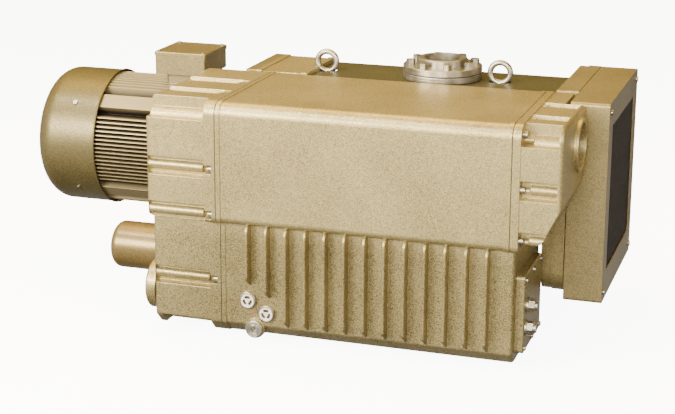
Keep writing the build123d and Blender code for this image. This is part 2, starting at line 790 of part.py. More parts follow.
with BuildPart() as sump_plate_plugs:
    plate_face = sump_x1 + sump_plate_thickness
    with BuildSketch(Plane.YZ.offset(plate_face)):
        with Locations(*plug_axes):
            Circle(21)
    extrude(amount=5)
    with BuildSketch(Plane.YZ.offset(plate_face + 5)):
        with Locations(*plug_axes):
            RegularPolygon(18, 6)
    extrude(amount=15)
    with BuildSketch(Plane.YZ.offset(plate_face + 20)):
        with Locations(*plug_axes):
            Circle(12)
    extrude(amount=7)
    with BuildSketch(Plane.YZ.offset(plate_face)):
        with Locations(*plug_axes):
            Circle(plug_thread / 2)
    extrude(amount=-20)
sump_plate_plugs.part.label = "sump_plate_plugs"
export_step(sump_plate_plugs.part, "parts/sump_plate_plugs.step")

lens_radius = 18.5
lens_front = 7.0  # lens face proud of the sump panel
lens_thickness = 4.0
oil_bore_radius = 13.0
bezel_height = 8.0
glass_thread_length = 14.0
with BuildPart() as sight_glass_bezels:
    with BuildSketch(across(panel)):
        with Locations(*sight_glasses):
            Circle(sight_glass_diameter / 2)
    extrude(amount=bezel_height)
    chamfer(sight_glass_bezels.edges().group_by(Axis.Y)[0], 2)
    with BuildSketch(across(panel)):
        with Locations(*sight_glasses):
            Circle(sight_glass_thread / 2 - thread_clearance)
    extrude(amount=-glass_thread_length)
    # The lens sits in the head; the bore behind it lets the oil in
    with BuildSketch(across(panel - lens_front - 2)):
        with Locations(*sight_glasses):
            Circle(lens_radius)
    extrude(amount=-(lens_thickness + 2), mode=Mode.SUBTRACT)
    with BuildSketch(across(panel)):
        with Locations(*sight_glasses):
            Circle(oil_bore_radius)
    extrude(amount=-glass_thread_length, mode=Mode.SUBTRACT)
    with BuildSketch(across(panel - lens_front)):
        with Locations(*sight_glasses):
            Circle(oil_bore_radius)
    extrude(amount=-lens_front, mode=Mode.SUBTRACT)
sight_glass_bezels.part.label = "sight_glass_bezels"
export_step(sight_glass_bezels.part, "parts/sight_glass_bezels.step")

with BuildPart() as sight_glass_lenses:
    with BuildSketch(across(panel - lens_front)):
        with Locations(*sight_glasses):
            Circle(lens_radius)
    extrude(amount=-lens_thickness)
sight_glass_lenses.part.label = "sight_glass_lenses"
export_step(sight_glass_lenses.part, "parts/sight_glass_lenses.step")

with BuildPart() as oil_drain_plug:
    plug_seat = panel - drain_boss_proud
    with BuildSketch(across(plug_seat)):
        with Locations(drain):
            Circle(drain_diameter / 2)
    extrude(amount=10)
    chamfer(oil_drain_plug.edges().group_by(Axis.Y)[0], 2)
    with BuildSketch(across(plug_seat)):
        with Locations(drain):
            Circle(drain_thread / 2 - thread_clearance)
    extrude(amount=-24)
    with BuildSketch(across(plug_seat - 11)):
        with Locations(drain):
            RegularPolygon(8, 6)
    extrude(amount=-12, mode=Mode.SUBTRACT)
oil_drain_plug.part.label = "oil_drain_plug"
export_step(oil_drain_plug.part, "parts/oil_drain_plug.step")

# ---------------------------------------------------------------- pump cylinder
fin_step = 22.0
body_radius = cylinder_radius - 8.0
discharge_face = rear_wall + gasket
neck_radius = 75.0
valve_plate_overlap = 9.5  # the valve chamber is this much wider than the inlet's bore
valve_chamber_radius = inlet_bore / 2 + valve_plate_overlap
lower_flange_top = top + inlet_rise - gasket
lower_flange_thickness = 18.0
lower_flange_radius = 108.0
valve_seat_depth = 46.0  # valve chamber below the lower flange's face
port_width = 300.0
bolt_hole = inlet_bolt / 2 + 1.0
eye_x = (drive_cover_x0 + drive_cover_thickness / 2, cylinder_x1 - 37.0)
eye_rest = top - 30.0  # top of the bosses under the lifting eyes
eye_boss = 18.0
eye_thread = 10.0
eye_ring_outer = 36.0
eye_ring_wire = 8.0
eye_neck = 13.0
eye_pocket_gap = 4.0  # round a ring, where another casting makes way for it
port_low = shaft_z - 42.0
port_high = shaft_z + 12.0
end_rim = 18.0  # full radius rims at the cylinder's ends
neck_wall = 14.0
cover_bolt = 10.0
cover_bolt_count = 10
cover_bolt_circle = 2 * (cylinder_radius - 10.0)
thread_depth = 22.0
eye_thread_depth = 32.0
with BuildPart() as pump_cylinder:
    with BuildSketch(Plane.YZ.offset(cylinder_x0)):
        with Locations((shaft_y, shaft_z)):
            Circle(body_radius)
    extrude(amount=cylinder_length)
    fin_count = int((cylinder_length - 40) // fin_step)
    for n in range(fin_count + 1):
        with BuildSketch(Plane.YZ.offset(cylinder_x0 + 20 + n * fin_step)):
            with Locations((shaft_y, shaft_z)):
                Circle(cylinder_radius)
        extrude(amount=6)
    for x in (cylinder_x0, cylinder_x1 - end_rim):
        with BuildSketch(Plane.YZ.offset(x)):
            with Locations((shaft_y, shaft_z)):
                Circle(cylinder_radius)
        extrude(amount=end_rim)
    # The discharge block, against the separator's rear wall
    with BuildSketch(across(discharge_face)):
        with Locations((discharge_x, (discharge_low + discharge_high) / 2)):
            RectangleRounded(discharge_width + 60, discharge_high - discharge_low + 40, 18)
    extrude(amount=-(shaft_y - discharge_face))
    # The inlet neck, its flange, and the boss under the right lifting eye
    with BuildSketch(Plane.XY.offset(shaft_z)):
        with Locations((inlet_x, shaft_y)):
            Circle(neck_radius)
    extrude(amount=lower_flange_top - shaft_z)
    with BuildSketch(Plane.XY.offset(lower_flange_top)):
        with Locations((inlet_x, shaft_y)):
            Circle(lower_flange_radius)
    extrude(amount=-lower_flange_thickness)
    with BuildSketch(Plane.XY.offset(shaft_z)):
        with Locations((eye_x[1], shaft_y)):
            Circle(eye_boss)
    extrude(amount=eye_rest - shaft_z)
    # Bore, valve chamber, inlet passage and discharge ports
    with BuildSketch(Plane.YZ.offset(cylinder_x0)):
        with Locations((bore_y, bore_z)):
            Circle(bore_radius)
    extrude(amount=cylinder_length, mode=Mode.SUBTRACT)
    with BuildSketch(Plane.XY.offset(lower_flange_top)):
        with Locations((inlet_x, shaft_y)):
            Circle(valve_chamber_radius)
    extrude(amount=-valve_seat_depth, mode=Mode.SUBTRACT)
    with BuildSketch(Plane.XY.offset(lower_flange_top)):
        with Locations((inlet_x, shaft_y)):
            Circle(valve_chamber_radius - neck_wall)
    extrude(amount=-(lower_flange_top - shaft_z - bore_radius + 30), mode=Mode.SUBTRACT)
    with BuildSketch(across(discharge_face)):
        with Locations((discharge_x, (port_low + port_high) / 2)):
            RectangleRounded(port_width, port_high - port_low, 10)
    extrude(amount=-(shaft_y - discharge_face - bore_radius + 30), mode=Mode.SUBTRACT)
    # Holes for the lifting eye and the inlet bolts
    with BuildSketch(Plane.XY.offset(eye_rest)):
        with Locations((eye_x[1], shaft_y)):
            Circle(eye_thread + thread_clearance)
    extrude(amount=-eye_thread_depth, mode=Mode.SUBTRACT)
    with BuildSketch(Plane.XY.offset(lower_flange_top)):
        with Locations((inlet_x, shaft_y)):
            with PolarLocations(inlet_bolt_circle / 2, inlet_bolt_count, 180 / inlet_bolt_count):
                Circle(inlet_bolt / 2 + thread_clearance)
    extrude(amount=-lower_flange_thickness, mode=Mode.SUBTRACT)
    # Tapped holes in the end faces for the end covers' bolts
    for x, way in ((cylinder_x0, 1), (cylinder_x1, -1)):
        with BuildSketch(Plane.YZ.offset(x)):
            with Locations((shaft_y, shaft_z)):
                with PolarLocations(cover_bolt_circle / 2, cover_bolt_count):
                    Circle(cover_bolt / 2 + thread_clearance)
        extrude(amount=way * thread_depth, mode=Mode.SUBTRACT)
pump_cylinder.part.label = "pump_cylinder"
export_step(pump_cylinder.part, "parts/pump_cylinder.step")

with BuildPart() as cylinder_gasket:
    with BuildSketch(across(rear_wall)):
        with Locations((discharge_x, (discharge_low + discharge_high) / 2)):
            RectangleRounded(discharge_width + 56, discharge_high - discharge_low + 36, 16)
            RectangleRounded(discharge_width, discharge_high - discharge_low, 16, mode=Mode.SUBTRACT)
    extrude(amount=-gasket)
cylinder_gasket.part.label = "cylinder_gasket"
export_step(cylinder_gasket.part, "parts/cylinder_gasket.step")

# ---------------------------------------------------------------- discharge valve
reed_count = 6
reed_pitch = port_width / reed_count
seat_thickness = 10.0
seat_x = [discharge_x + (n - (reed_count - 1) / 2) * reed_pitch for n in range(reed_count)]
seat_z = shaft_z - 15.0
with BuildPart() as discharge_valve_seat:
    with BuildSketch(across(discharge_face)):
        with Locations((discharge_x, (discharge_low + discharge_high) / 2)):
            RectangleRounded(discharge_width - 6, discharge_high - discharge_low - 6, 14)
        for x in seat_x:
            with Locations((x, seat_z)):
                SlotOverall(36, 22, rotation=90, mode=Mode.SUBTRACT)
    extrude(amount=seat_thickness)
discharge_valve_seat.part.label = "discharge_valve_seat"
export_step(discharge_valve_seat.part, "parts/discharge_valve_seat.step")

reed_face = discharge_face - seat_thickness
reed_thickness = 1.2
with BuildPart() as discharge_valves:
    for x in seat_x:
        with BuildSketch(across(reed_face)):
            with Locations((x, seat_z + 10)):
                Rectangle(32, 74)
        extrude(amount=reed_thickness)
    # Bent stops, clamped on the reeds' upper ends
    stop_face = reed_face - reed_thickness
    for x in seat_x:
        with BuildSketch(Plane.YZ.offset(x - 15)):
            with BuildLine():
                Polyline(
                    (stop_face, seat_z + 47),
                    (stop_face, seat_z + 24),
                    (stop_face - 14, seat_z - 27),
                    (stop_face - 18, seat_z - 26),
                    (stop_face - 4, seat_z + 26),
                    (stop_face - 4, seat_z + 47),
                    close=True,
                )
            make_face()
        extrude(amount=30)
discharge_valves.part.label = "discharge_valves"
export_step(discharge_valves.part, "parts/discharge_valves.step")

# ---------------------------------------------------------------- end covers of the pump stage
leg_spread = 110.0
bearing_boss = 14.0
foot_rear = shaft_y + 80.0
feet_rear = [
    (drive_cover_x0 + drive_cover_thickness / 2, foot_rear),
    (fan_cover_x1 - fan_cover_thickness / 2, foot_rear),
]


def leg_outline():
    """A cast leg below an end cover, widening to its foot."""
    with BuildSketch() as leg:
        with BuildLine():
            Polyline(
                (shaft_y - 30, shaft_z - cylinder_radius + 40),
                (shaft_y + 80, shaft_z - cylinder_radius + 60),
                (foot_rear + 45, sump + 26),
                (foot_rear + 45, sump),
                (foot_rear - leg_spread, sump),
                (foot_rear - leg_spread, sump + 26),
                close=True,
            )
        make_face()
        with BuildLine():
            Polyline(
                (foot_rear - 60, sump + 40),
                (foot_rear + 10, sump + 40),
                (shaft_y + 55, shaft_z - cylinder_radius - 30),
                (shaft_y + 0, shaft_z - cylinder_radius - 30),
                close=True,
            )
        make_face(mode=Mode.SUBTRACT)
    return leg.sketch


def end_cover(x0, thickness, boss_way):
    """An end cover: a disc with a leg, a bearing seat, a shaft bore and ten bolt holes."""
    with BuildPart() as cover:
        with BuildSketch(Plane.YZ.offset(x0)):
            with Locations((shaft_y, shaft_z)):
                Circle(cylinder_radius + 3)
            add(leg_outline())
        extrude(amount=thickness)
        outside = x0 if boss_way < 0 else x0 + thickness
        with BuildSketch(Plane.YZ.offset(outside)):
            with Locations((shaft_y, shaft_z)):
                Circle(bearing_radius + 16)
        extrude(amount=boss_way * bearing_boss)
        inside = x0 + thickness if boss_way < 0 else x0
        with BuildSketch(Plane.YZ.offset(inside)):
            with Locations((shaft_y, shaft_z)):
                Circle(journal_radius + 0.5)
        extrude(amount=boss_way * 60, mode=Mode.SUBTRACT)
        with BuildSketch(Plane.YZ.offset(outside + boss_way * bearing_boss)):
            with Locations((shaft_y, shaft_z)):
                Circle(bearing_radius)
        extrude(amount=-boss_way * (thickness - 2), mode=Mode.SUBTRACT)
        with BuildSketch(Plane.YZ.offset(x0)):
            with Locations((shaft_y, shaft_z)):
                with PolarLocations(cover_bolt_circle / 2, cover_bolt_count):
                    Circle(cover_bolt / 2 + screw_clearance)
        extrude(amount=thickness, mode=Mode.SUBTRACT)
        foot_x = x0 + thickness / 2
        with BuildSketch(Plane.XY.offset(sump)):
            with Locations((foot_x, foot_rear)):
                Circle(foot_stud / 2 + thread_clearance)
        extrude(amount=22, mode=Mode.SUBTRACT)
    return cover.part


with BuildPart() as drive_end_cover:
    add(end_cover(drive_cover_x0, drive_cover_thickness, -1))
    with BuildSketch(Plane.XY.offset(shaft_z + cylinder_radius - 10)):
        with Locations((eye_x[0], shaft_y)):
            Circle(eye_boss - 0.5)
    extrude(amount=eye_rest - shaft_z - cylinder_radius + 10)
    with BuildSketch(Plane.XY.offset(eye_rest)):
        with Locations((eye_x[0], shaft_y)):
            Circle(eye_thread + thread_clearance)
    extrude(amount=-eye_thread_depth, mode=Mode.SUBTRACT)
drive_end_cover.part.label = "drive_end_cover"
export_step(drive_end_cover.part, "parts/drive_end_cover.step")

with BuildPart() as fan_end_cover:
    add(end_cover(cylinder_x1, fan_cover_thickness, 1))
fan_end_cover.part.label = "fan_end_cover"
export_step(fan_end_cover.part, "parts/fan_end_cover.step")

cover_bolt_axes = [
    polar(shaft_y, shaft_z, cover_bolt_circle / 2, 360 / cover_bolt_count * n)
    for n in range(cover_bolt_count)
]
with BuildPart() as end_cover_bolts:
    for plane, thickness, way in (
        (Plane.YZ.offset(drive_cover_x0), drive_cover_thickness, -1),
        (Plane.YZ.offset(fan_cover_x1), fan_cover_thickness, 1),
    ):
        with BuildSketch(plane):
            with Locations(*cover_bolt_axes):
                RegularPolygon(0.8 * cover_bolt, 6, major_radius=False)
        extrude(amount=way * 0.7 * cover_bolt)
        with BuildSketch(plane):
            with Locations(*cover_bolt_axes):
                Circle(cover_bolt / 2)
        extrude(amount=-way * (thickness + thread_depth - 2))
end_cover_bolts.part.label = "end_cover_bolts"
export_step(end_cover_bolts.part, "parts/end_cover_bolts.step")

# ---------------------------------------------------------------- rotor and vanes
slot_floor = rotor_radius - vane_depth - 2.0
fan_hub_x0 = exhaust_flange_face + 12.0
fan_width = 38.0
pump_hub_length = 52.0
coupling_gap_x = box_x0 - 8.0  # middle of the coupling
spider_thickness = 20.0
pump_hub_x0 = coupling_gap_x + spider_thickness / 2 + 1
journal_x0 = pump_hub_x0 + 1
journal_x1 = fan_hub_x0 + fan_width
with BuildPart() as pump_rotor:
    with BuildSketch(Plane.YZ.offset(cylinder_x0 + end_gap)):
        with Locations((shaft_y, shaft_z)):
            Circle(rotor_radius)
        for angle in vane_angles:
            turn = seal_direction + angle
            middle = polar(shaft_y, shaft_z, (rotor_radius + slot_floor) / 2 + 5, turn)
            with Locations(Location((middle[0], middle[1], 0), (0, 0, turn))):
                Rectangle(rotor_radius - slot_floor + 10, vane_thickness + 0.2, mode=Mode.SUBTRACT)
    extrude(amount=cylinder_length - 2 * end_gap)
    with BuildSketch(Plane.YZ.offset(journal_x0)):
        with Locations((shaft_y, shaft_z)):
            Circle(journal_radius)
    extrude(amount=journal_x1 - journal_x0)
pump_rotor.part.label = "pump_rotor"
export_step(pump_rotor.part, "parts/pump_rotor.step")

vane_edge = rotor_radius - 0.6
for number, angle in enumerate(vane_angles, 1):
    turn = seal_direction + angle
    middle = polar(shaft_y, shaft_z, vane_edge - vane_depth / 2, turn)
    with BuildPart() as vane:
        with BuildSketch(Plane.YZ.offset(cylinder_x0 + 2 * end_gap)):
            with Locations(Location((middle[0], middle[1], 0), (0, 0, turn))):
                Rectangle(vane_depth, vane_thickness)
        extrude(amount=cylinder_length - 4 * end_gap)
        tip_edges = vane.edges().filter_by(Axis.X)
        chamfer(tip_edges, 1)
    vane.part.label = f"vane_{number}"
    export_step(vane.part, f"parts/vane_{number}.step")

with BuildPart() as pump_bearings:
    for x0, x1 in (
        (drive_cover_x0 - bearing_boss, drive_cover_x0 + drive_cover_thickness - bearing_boss - 2),
        (fan_cover_x1 - fan_cover_thickness + bearing_boss + 2, fan_cover_x1 + bearing_boss),
    ):
        with BuildSketch(Plane.YZ.offset(x0)):
            with Locations((shaft_y, shaft_z)):
                Circle(bearing_radius - 0.1)
                Circle(journal_radius + running_clearance, mode=Mode.SUBTRACT)
        extrude(amount=x1 - x0)
pump_bearings.part.label = "pump_bearings"
export_step(pump_bearings.part, "parts/pump_bearings.step")

# ---------------------------------------------------------------- inlet flange
flange_low = top + inlet_rise
flange_high = flange_low + inlet_flange_thickness
screen_ledge = 3.0
screen_seat = inlet_bore + 2 * screen_ledge
screen_seat_depth = 6.0
screen_thickness = 2.0
with BuildPart() as inlet_gasket:
    with BuildSketch(Plane.XY.offset(lower_flange_top)):
        with Locations((inlet_x, shaft_y)):
            Circle(lower_flange_radius)
            Circle(valve_chamber_radius, mode=Mode.SUBTRACT)
            with PolarLocations(inlet_bolt_circle / 2, inlet_bolt_count, 180 / inlet_bolt_count):
                Circle(bolt_hole, mode=Mode.SUBTRACT)
    extrude(amount=gasket)
inlet_gasket.part.label = "inlet_gasket"
export_step(inlet_gasket.part, "parts/inlet_gasket.step")

with BuildPart() as inlet_flange:
    with BuildSketch(Plane.XY.offset(flange_low)):
        with Locations((inlet_x, shaft_y)):
            Circle(inlet_flange_diameter / 2)
    extrude(amount=inlet_flange_thickness)
    chamfer(inlet_flange.edges(), 1.5)
    with BuildSketch(Plane.XY.offset(flange_high)):
        with Locations((inlet_x, shaft_y)):
            Circle(inlet_ring_diameter / 2)
    extrude(amount=inlet_ring_height)
    chamfer(inlet_flange.edges().group_by(Axis.Z)[-1], 2)
    with BuildSketch(Plane.XY.offset(flange_low)):
        with Locations((inlet_x, shaft_y)):
            Circle(inlet_bore / 2)
            with PolarLocations(inlet_bolt_circle / 2, inlet_bolt_count, 180 / inlet_bolt_count):
                Circle(bolt_hole)
    extrude(amount=inlet_flange_thickness + inlet_ring_height, mode=Mode.SUBTRACT)
    # Counterbore that holds the screen
    with BuildSketch(Plane.XY.offset(flange_low)):
        with Locations((inlet_x, shaft_y)):
            Circle(screen_seat / 2)
    extrude(amount=screen_seat_depth, mode=Mode.SUBTRACT)
inlet_flange.part.label = "inlet_flange"
export_step(inlet_flange.part, "parts/inlet_flange.step")

with BuildPart() as inlet_bolts:
    with BuildSketch(Plane.XY.offset(flange_high)):
        with Locations((inlet_x, shaft_y)):
            with PolarLocations(inlet_bolt_circle / 2, inlet_bolt_count, 180 / inlet_bolt_count):
                RegularPolygon(11, 6, major_radius=False)
    extrude(amount=15)
    with BuildSketch(Plane.XY.offset(flange_high)):
        with Locations((inlet_x, shaft_y)):
            with PolarLocations(inlet_bolt_circle / 2, inlet_bolt_count, 180 / inlet_bolt_count):
                Circle(inlet_bolt / 2)
    extrude(amount=-(inlet_flange_thickness + gasket + lower_flange_thickness - 1))
inlet_bolts.part.label = "inlet_bolts"
export_step(inlet_bolts.part, "parts/inlet_bolts.step")

screen_pitch = 12.0
screen_hole = 9.5
with BuildPart() as inlet_screen:
    with BuildSketch(Plane.XY.offset(flange_low + screen_seat_depth)):
        with Locations((inlet_x, shaft_y)):
            Circle(screen_seat / 2 - 0.2)
            with GridLocations(screen_pitch, screen_pitch, 6, 6):
                Rectangle(screen_hole, screen_hole, mode=Mode.SUBTRACT)
    extrude(amount=-screen_thickness)
inlet_screen.part.label = "inlet_screen"
export_step(inlet_screen.part, "parts/inlet_screen.step")

valve_gap = 0.3
valve_plate_radius = valve_chamber_radius - 4
valve_plate_thickness = 6.0
valve_stem_length = 42.0
chamber_floor = lower_flange_top - valve_seat_depth
with BuildPart() as check_valve_plate:
    with BuildSketch(Plane.XY.offset(flange_low - valve_gap)):
        with Locations((inlet_x, shaft_y)):
            Circle(valve_plate_radius)
    extrude(amount=-valve_plate_thickness)
    with BuildSketch(Plane.XY.offset(flange_low - valve_gap - valve_plate_thickness)):
        with Locations((inlet_x, shaft_y)):
            Circle(9)
    extrude(amount=-valve_stem_length)
check_valve_plate.part.label = "check_valve_plate"
export_step(check_valve_plate.part, "parts/check_valve_plate.step")

guide_thickness = 8.0
with BuildPart() as check_valve_guide:
    with BuildSketch(Plane.XY.offset(chamber_floor)):
        with Locations((inlet_x, shaft_y)):
            Circle(valve_chamber_radius - 0.2)
            Circle(valve_chamber_radius - 16, mode=Mode.SUBTRACT)
            Rectangle(2 * valve_chamber_radius - 12, 14)
            Rectangle(14, 2 * valve_chamber_radius - 12)
            Circle(16)
            Circle(9 + 2 * running_clearance, mode=Mode.SUBTRACT)
    extrude(amount=guide_thickness)
check_valve_guide.part.label = "check_valve_guide"
export_step(check_valve_guide.part, "parts/check_valve_guide.step")

spring_wire = 3.0
spring_radius = 21.0
spring_low = chamber_floor + guide_thickness
spring_high = flange_low - valve_gap - valve_plate_thickness
with BuildPart() as check_valve_spring:
    turns = 4
    spring_height = spring_high - spring_low - spring_wire - 0.4
    with BuildLine():
        Helix(
            pitch=spring_height / turns,
            height=spring_height,
            radius=spring_radius,
            center=(inlet_x, shaft_y, spring_low + spring_wire / 2 + 0.2),
        )
    with BuildSketch(
        Plane(
            origin=(inlet_x + spring_radius, shaft_y, spring_low + spring_wire / 2 + 0.2),
            z_dir=(0, 1, spring_height / turns / (2 * pi * spring_radius)),
        )
    ):
        Circle(spring_wire / 2)
    sweep(is_frenet=True)
check_valve_spring.part.label = "check_valve_spring"
export_step(check_valve_spring.part, "parts/check_valve_spring.step")

# ---------------------------------------------------------------- lifting eyes
ring_z = eye_rest + eye_neck + eye_ring_outer - 6
with BuildPart() as lifting_eyes:
    for x, turn in ((eye_x[0], 0.0), (eye_x[1], 35.0)):
        with Locations(Location((x, shaft_y, ring_z), (90, 0, turn))):
            Torus(eye_ring_outer - eye_ring_wire, eye_ring_wire)
        with BuildSketch(Plane.XY.offset(eye_rest)):
            with Locations((x, shaft_y)):
                Circle(17)
        extrude(amount=8)
        with BuildSketch(Plane.XY.offset(eye_rest + 8)):
            with Locations((x, shaft_y)):
                Circle(15)
        with BuildSketch(Plane.XY.offset(eye_rest + eye_neck + 1)):
            with Locations((x, shaft_y)):
                Circle(8)
        loft()
        with BuildSketch(Plane.XY.offset(eye_rest)):
            with Locations((x, shaft_y)):
                Circle(eye_thread)
        extrude(amount=-30)
lifting_eyes.part.label = "lifting_eyes"
export_step(lifting_eyes.part, "parts/lifting_eyes.step")

# ---------------------------------------------------------------- air hood
hood_top = top - 12.0
hood_front = front + 447.0
hood_bend = shaft_y + 124.0
hood_rear = shaft_y + 205.0
hood_x0 = drive_cover_x0 + 5.0
shroud_x0 = exhaust_flange_face + 2.0
hood_x1 = shroud_x0 - 1.0
with BuildPart() as air_hood:
    with BuildSketch(Plane.YZ.offset(hood_x0)):
        with BuildLine():
            FilletPolyline(
                (hood_front, shaft_z + cylinder_radius + 6),
                (hood_front, hood_top),
                (hood_bend, hood_top),
                (hood_rear, hood_top - 85),
                (hood_rear, shaft_z - 150),
                radius=[8, 14, 20],
            )
            Line(
                (hood_rear, shaft_z - 150),
                (hood_rear - sheet, shaft_z - 150),
            )
            FilletPolyline(
                (hood_rear - sheet, shaft_z - 150),
                (hood_rear - sheet, hood_top - 85 - 0.4 * sheet),
                (hood_bend - 0.4 * sheet, hood_top - sheet),
                (hood_front + sheet, hood_top - sheet),
                (hood_front + sheet, shaft_z + cylinder_radius + 6),
                radius=[17, 11, 5],
            )
            Line(
                (hood_front + sheet, shaft_z + cylinder_radius + 6),
                (hood_front, shaft_z + cylinder_radius + 6),
            )
        make_face()
    extrude(amount=hood_x1 - hood_x0)
    with BuildSketch(Plane.XY.offset(hood_top + 1)):
        with Locations((inlet_x, shaft_y)):
            Circle(neck_radius + 3)
        with Locations((eye_x[0], shaft_y), (eye_x[1], shaft_y)):
            Circle(eye_ring_outer - 6)
    extrude(amount=-sheet - 2, mode=Mode.SUBTRACT)
air_hood.part.label = "air_hood"
export_step(air_hood.part, "parts/air_hood.step")

# ---------------------------------------------------------------- rubber feet
with BuildPart() as rubber_feet:
    with BuildSketch(Plane.XY):
        with Locations(*feet_front, *feet_rear):
            Circle(foot_radius)
    extrude(amount=foot_height)
    fillet(rubber_feet.edges().group_by(Axis.Z)[-1], 3)
    with BuildSketch(Plane.XY.offset(foot_height)):
        with Locations(*feet_front, *feet_rear):
            Circle(foot_stud / 2)
    extrude(amount=12)
rubber_feet.part.label = "rubber_feet"
export_step(rubber_feet.part, "parts/rubber_feet.step")

# ---------------------------------------------------------------- coupling
spider_x0 = coupling_gap_x - spider_thickness / 2
spider_x1 = coupling_gap_x + spider_thickness / 2
hub_radius = 62.0
hub_disc = 16.0
claw_inner, claw_outer = 30.0, 60.0
claw_angle = 34.0
claw_gap = 1.0
motor_hub_length = 40.0


def claws(start_angle):
    """Three claws of a coupling hub, as ring sectors in the YZ plane."""
    with BuildSketch() as ring:
        for n in range(3):
            turn = start_angle + 120 * n
            with BuildLine():
                a0, a1 = turn - claw_angle / 2, turn + claw_angle / 2
                low0 = polar(shaft_y, shaft_z, claw_inner + 4, a0)
                low1 = polar(shaft_y, shaft_z, claw_inner + 4, a1)
                high0 = polar(shaft_y, shaft_z, claw_outer, a0)
                high1 = polar(shaft_y, shaft_z, claw_outer, a1)
                Line(low0, high0)
                ThreePointArc(high0, polar(shaft_y, shaft_z, claw_outer, turn), high1)
                Line(high1, low1)
                ThreePointArc(low1, polar(shaft_y, shaft_z, claw_inner + 4, turn), low0)
            make_face()
    return ring.sketch


def coupling_hub(face, way, length, bore, start_angle):
    """A claw hub: a disc and a sleeve on a shaft, with claws that reach over the spider."""
    with BuildPart() as hub:
        with BuildSketch(Plane.YZ.offset(face)):
            with Locations((shaft_y, shaft_z)):
                Circle(hub_radius)
        extrude(amount=-way * hub_disc)
        with BuildSketch(Plane.YZ.offset(face - way * hub_disc)):
            with Locations((shaft_y, shaft_z)):
                Circle(bore + 14)
        extrude(amount=-way * (length - hub_disc))
        with BuildSketch(Plane.YZ.offset(face)):
            add(claws(start_angle))
        extrude(amount=way * (spider_thickness - 1))
        with BuildSketch(Plane.YZ.offset(face)):
            with Locations((shaft_y, shaft_z)):
                Circle(bore)
        extrude(amount=-way * length, mode=Mode.SUBTRACT)
    return hub.part


with BuildPart() as motor_coupling_hub:
    add(coupling_hub(spider_x0 - claw_gap, 1, motor_hub_length, motor_shaft_radius, 0))
motor_coupling_hub.part.label = "motor_coupling_hub"
export_step(motor_coupling_hub.part, "parts/motor_coupling_hub.step")

with BuildPart() as pump_coupling_hub:
    add(coupling_hub(spider_x1 + claw_gap, -1, pump_hub_length, journal_radius, 60))
pump_coupling_hub.part.label = "pump_coupling_hub"
export_step(pump_coupling_hub.part, "parts/pump_coupling_hub.step")

with BuildPart() as coupling_spider:
    with BuildSketch(Plane.YZ.offset(spider_x0)):
        with Locations((shaft_y, shaft_z)):
            Circle(claw_inner)
        for n in range(6):
            middle = polar(shaft_y, shaft_z, (claw_inner + claw_outer - 3) / 2, 30 + 60 * n)
            with Locations(Location((middle[0], middle[1], 0), (0, 0, 30 + 60 * n))):
                Rectangle(claw_outer - claw_inner + 6, 12)
        with Locations((shaft_y, shaft_z)):
            Circle(12, mode=Mode.SUBTRACT)
    extrude(amount=spider_thickness)
coupling_spider.part.label = "coupling_spider"
export_step(coupling_spider.part, "parts/coupling_spider.step")

# ---------------------------------------------------------------- coupling housing
housing_x0 = flange_x1
housing_x1 = drive_cover_x0 - 0.5
housing_half = 124.0  # half the width of its flat top
housing_wall = 12.0
housing_outer = 171.0
housing_flange = 16.0
motor_bolt = 10.0
motor_bolt_axes = [(shaft_y + way * (housing_half - 18), top - 17) for way in (-1, 1)]
motor_bolt_axes += [polar(shaft_y, shaft_z, housing_outer + 10, 180 + 36 * n) for n in range(6)]


def lantern_outline(inset):
    """The coupling housing in the YZ plane: round below, square above."""
    with BuildSketch() as lantern:
        with Locations((shaft_y, shaft_z)):
            Circle(housing_outer - inset)
        with Locations((shaft_y, (shaft_z + top - inset) / 2)):
            Rectangle(2 * (housing_half - inset), top - inset - shaft_z)
    return lantern.sketch


with BuildPart() as coupling_housing:
    with BuildSketch(Plane.YZ.offset(housing_x0)):
        add(lantern_outline(3))
    extrude(amount=housing_x1 - housing_x0)
    for x in (housing_x0, housing_x1 - housing_flange):
        with BuildSketch(Plane.YZ.offset(x)):
            add(lantern_outline(0))
            with Locations((shaft_y, shaft_z)):
                Circle(cylinder_radius + 3)
        extrude(amount=housing_flange)
    with BuildSketch(Plane.YZ.offset(housing_x0)):
        add(lantern_outline(3 + housing_wall))
    extrude(amount=housing_x1 - housing_x0, mode=Mode.SUBTRACT)
    # A ring closes the hollow towards the pump, clear of the bolts on its end cover
    with BuildSketch(Plane.YZ.offset(housing_x1)):
        with Locations((shaft_y, shaft_z)):
            Circle(housing_outer - 8)
            Circle(bearing_radius + 22, mode=Mode.SUBTRACT)
        with Locations((shaft_y, top - 36)):
            Rectangle(2 * (housing_half - 6), 60)
    extrude(amount=-6)
    # Tapped holes for the motor's bolts, and pockets round the pump's cover bolts
    with BuildSketch(Plane.YZ.offset(housing_x1)):
        with Locations(*cover_bolt_axes):
            Circle(12)
    extrude(amount=-12, mode=Mode.SUBTRACT)
    with BuildSketch(Plane.YZ.offset(housing_x0)):
        with Locations(*motor_bolt_axes):
            Circle(motor_bolt / 2 + thread_clearance)
    extrude(amount=housing_flange, mode=Mode.SUBTRACT)
    # Pocket in the rim that makes way for the lifting eye beside it
    pocket_x0 = eye_x[0] - eye_ring_outer - eye_pocket_gap
    with BuildSketch(Plane.XY.offset(top + 1)):
        with Locations(((pocket_x0 + housing_x1) / 2, shaft_y)):
            Rectangle(housing_x1 - pocket_x0, 2 * (eye_ring_wire + eye_pocket_gap))
    extrude(amount=-(top + 1 - eye_rest), mode=Mode.SUBTRACT)
coupling_housing.part.label = "coupling_housing"
export_step(coupling_housing.part, "parts/coupling_housing.step")

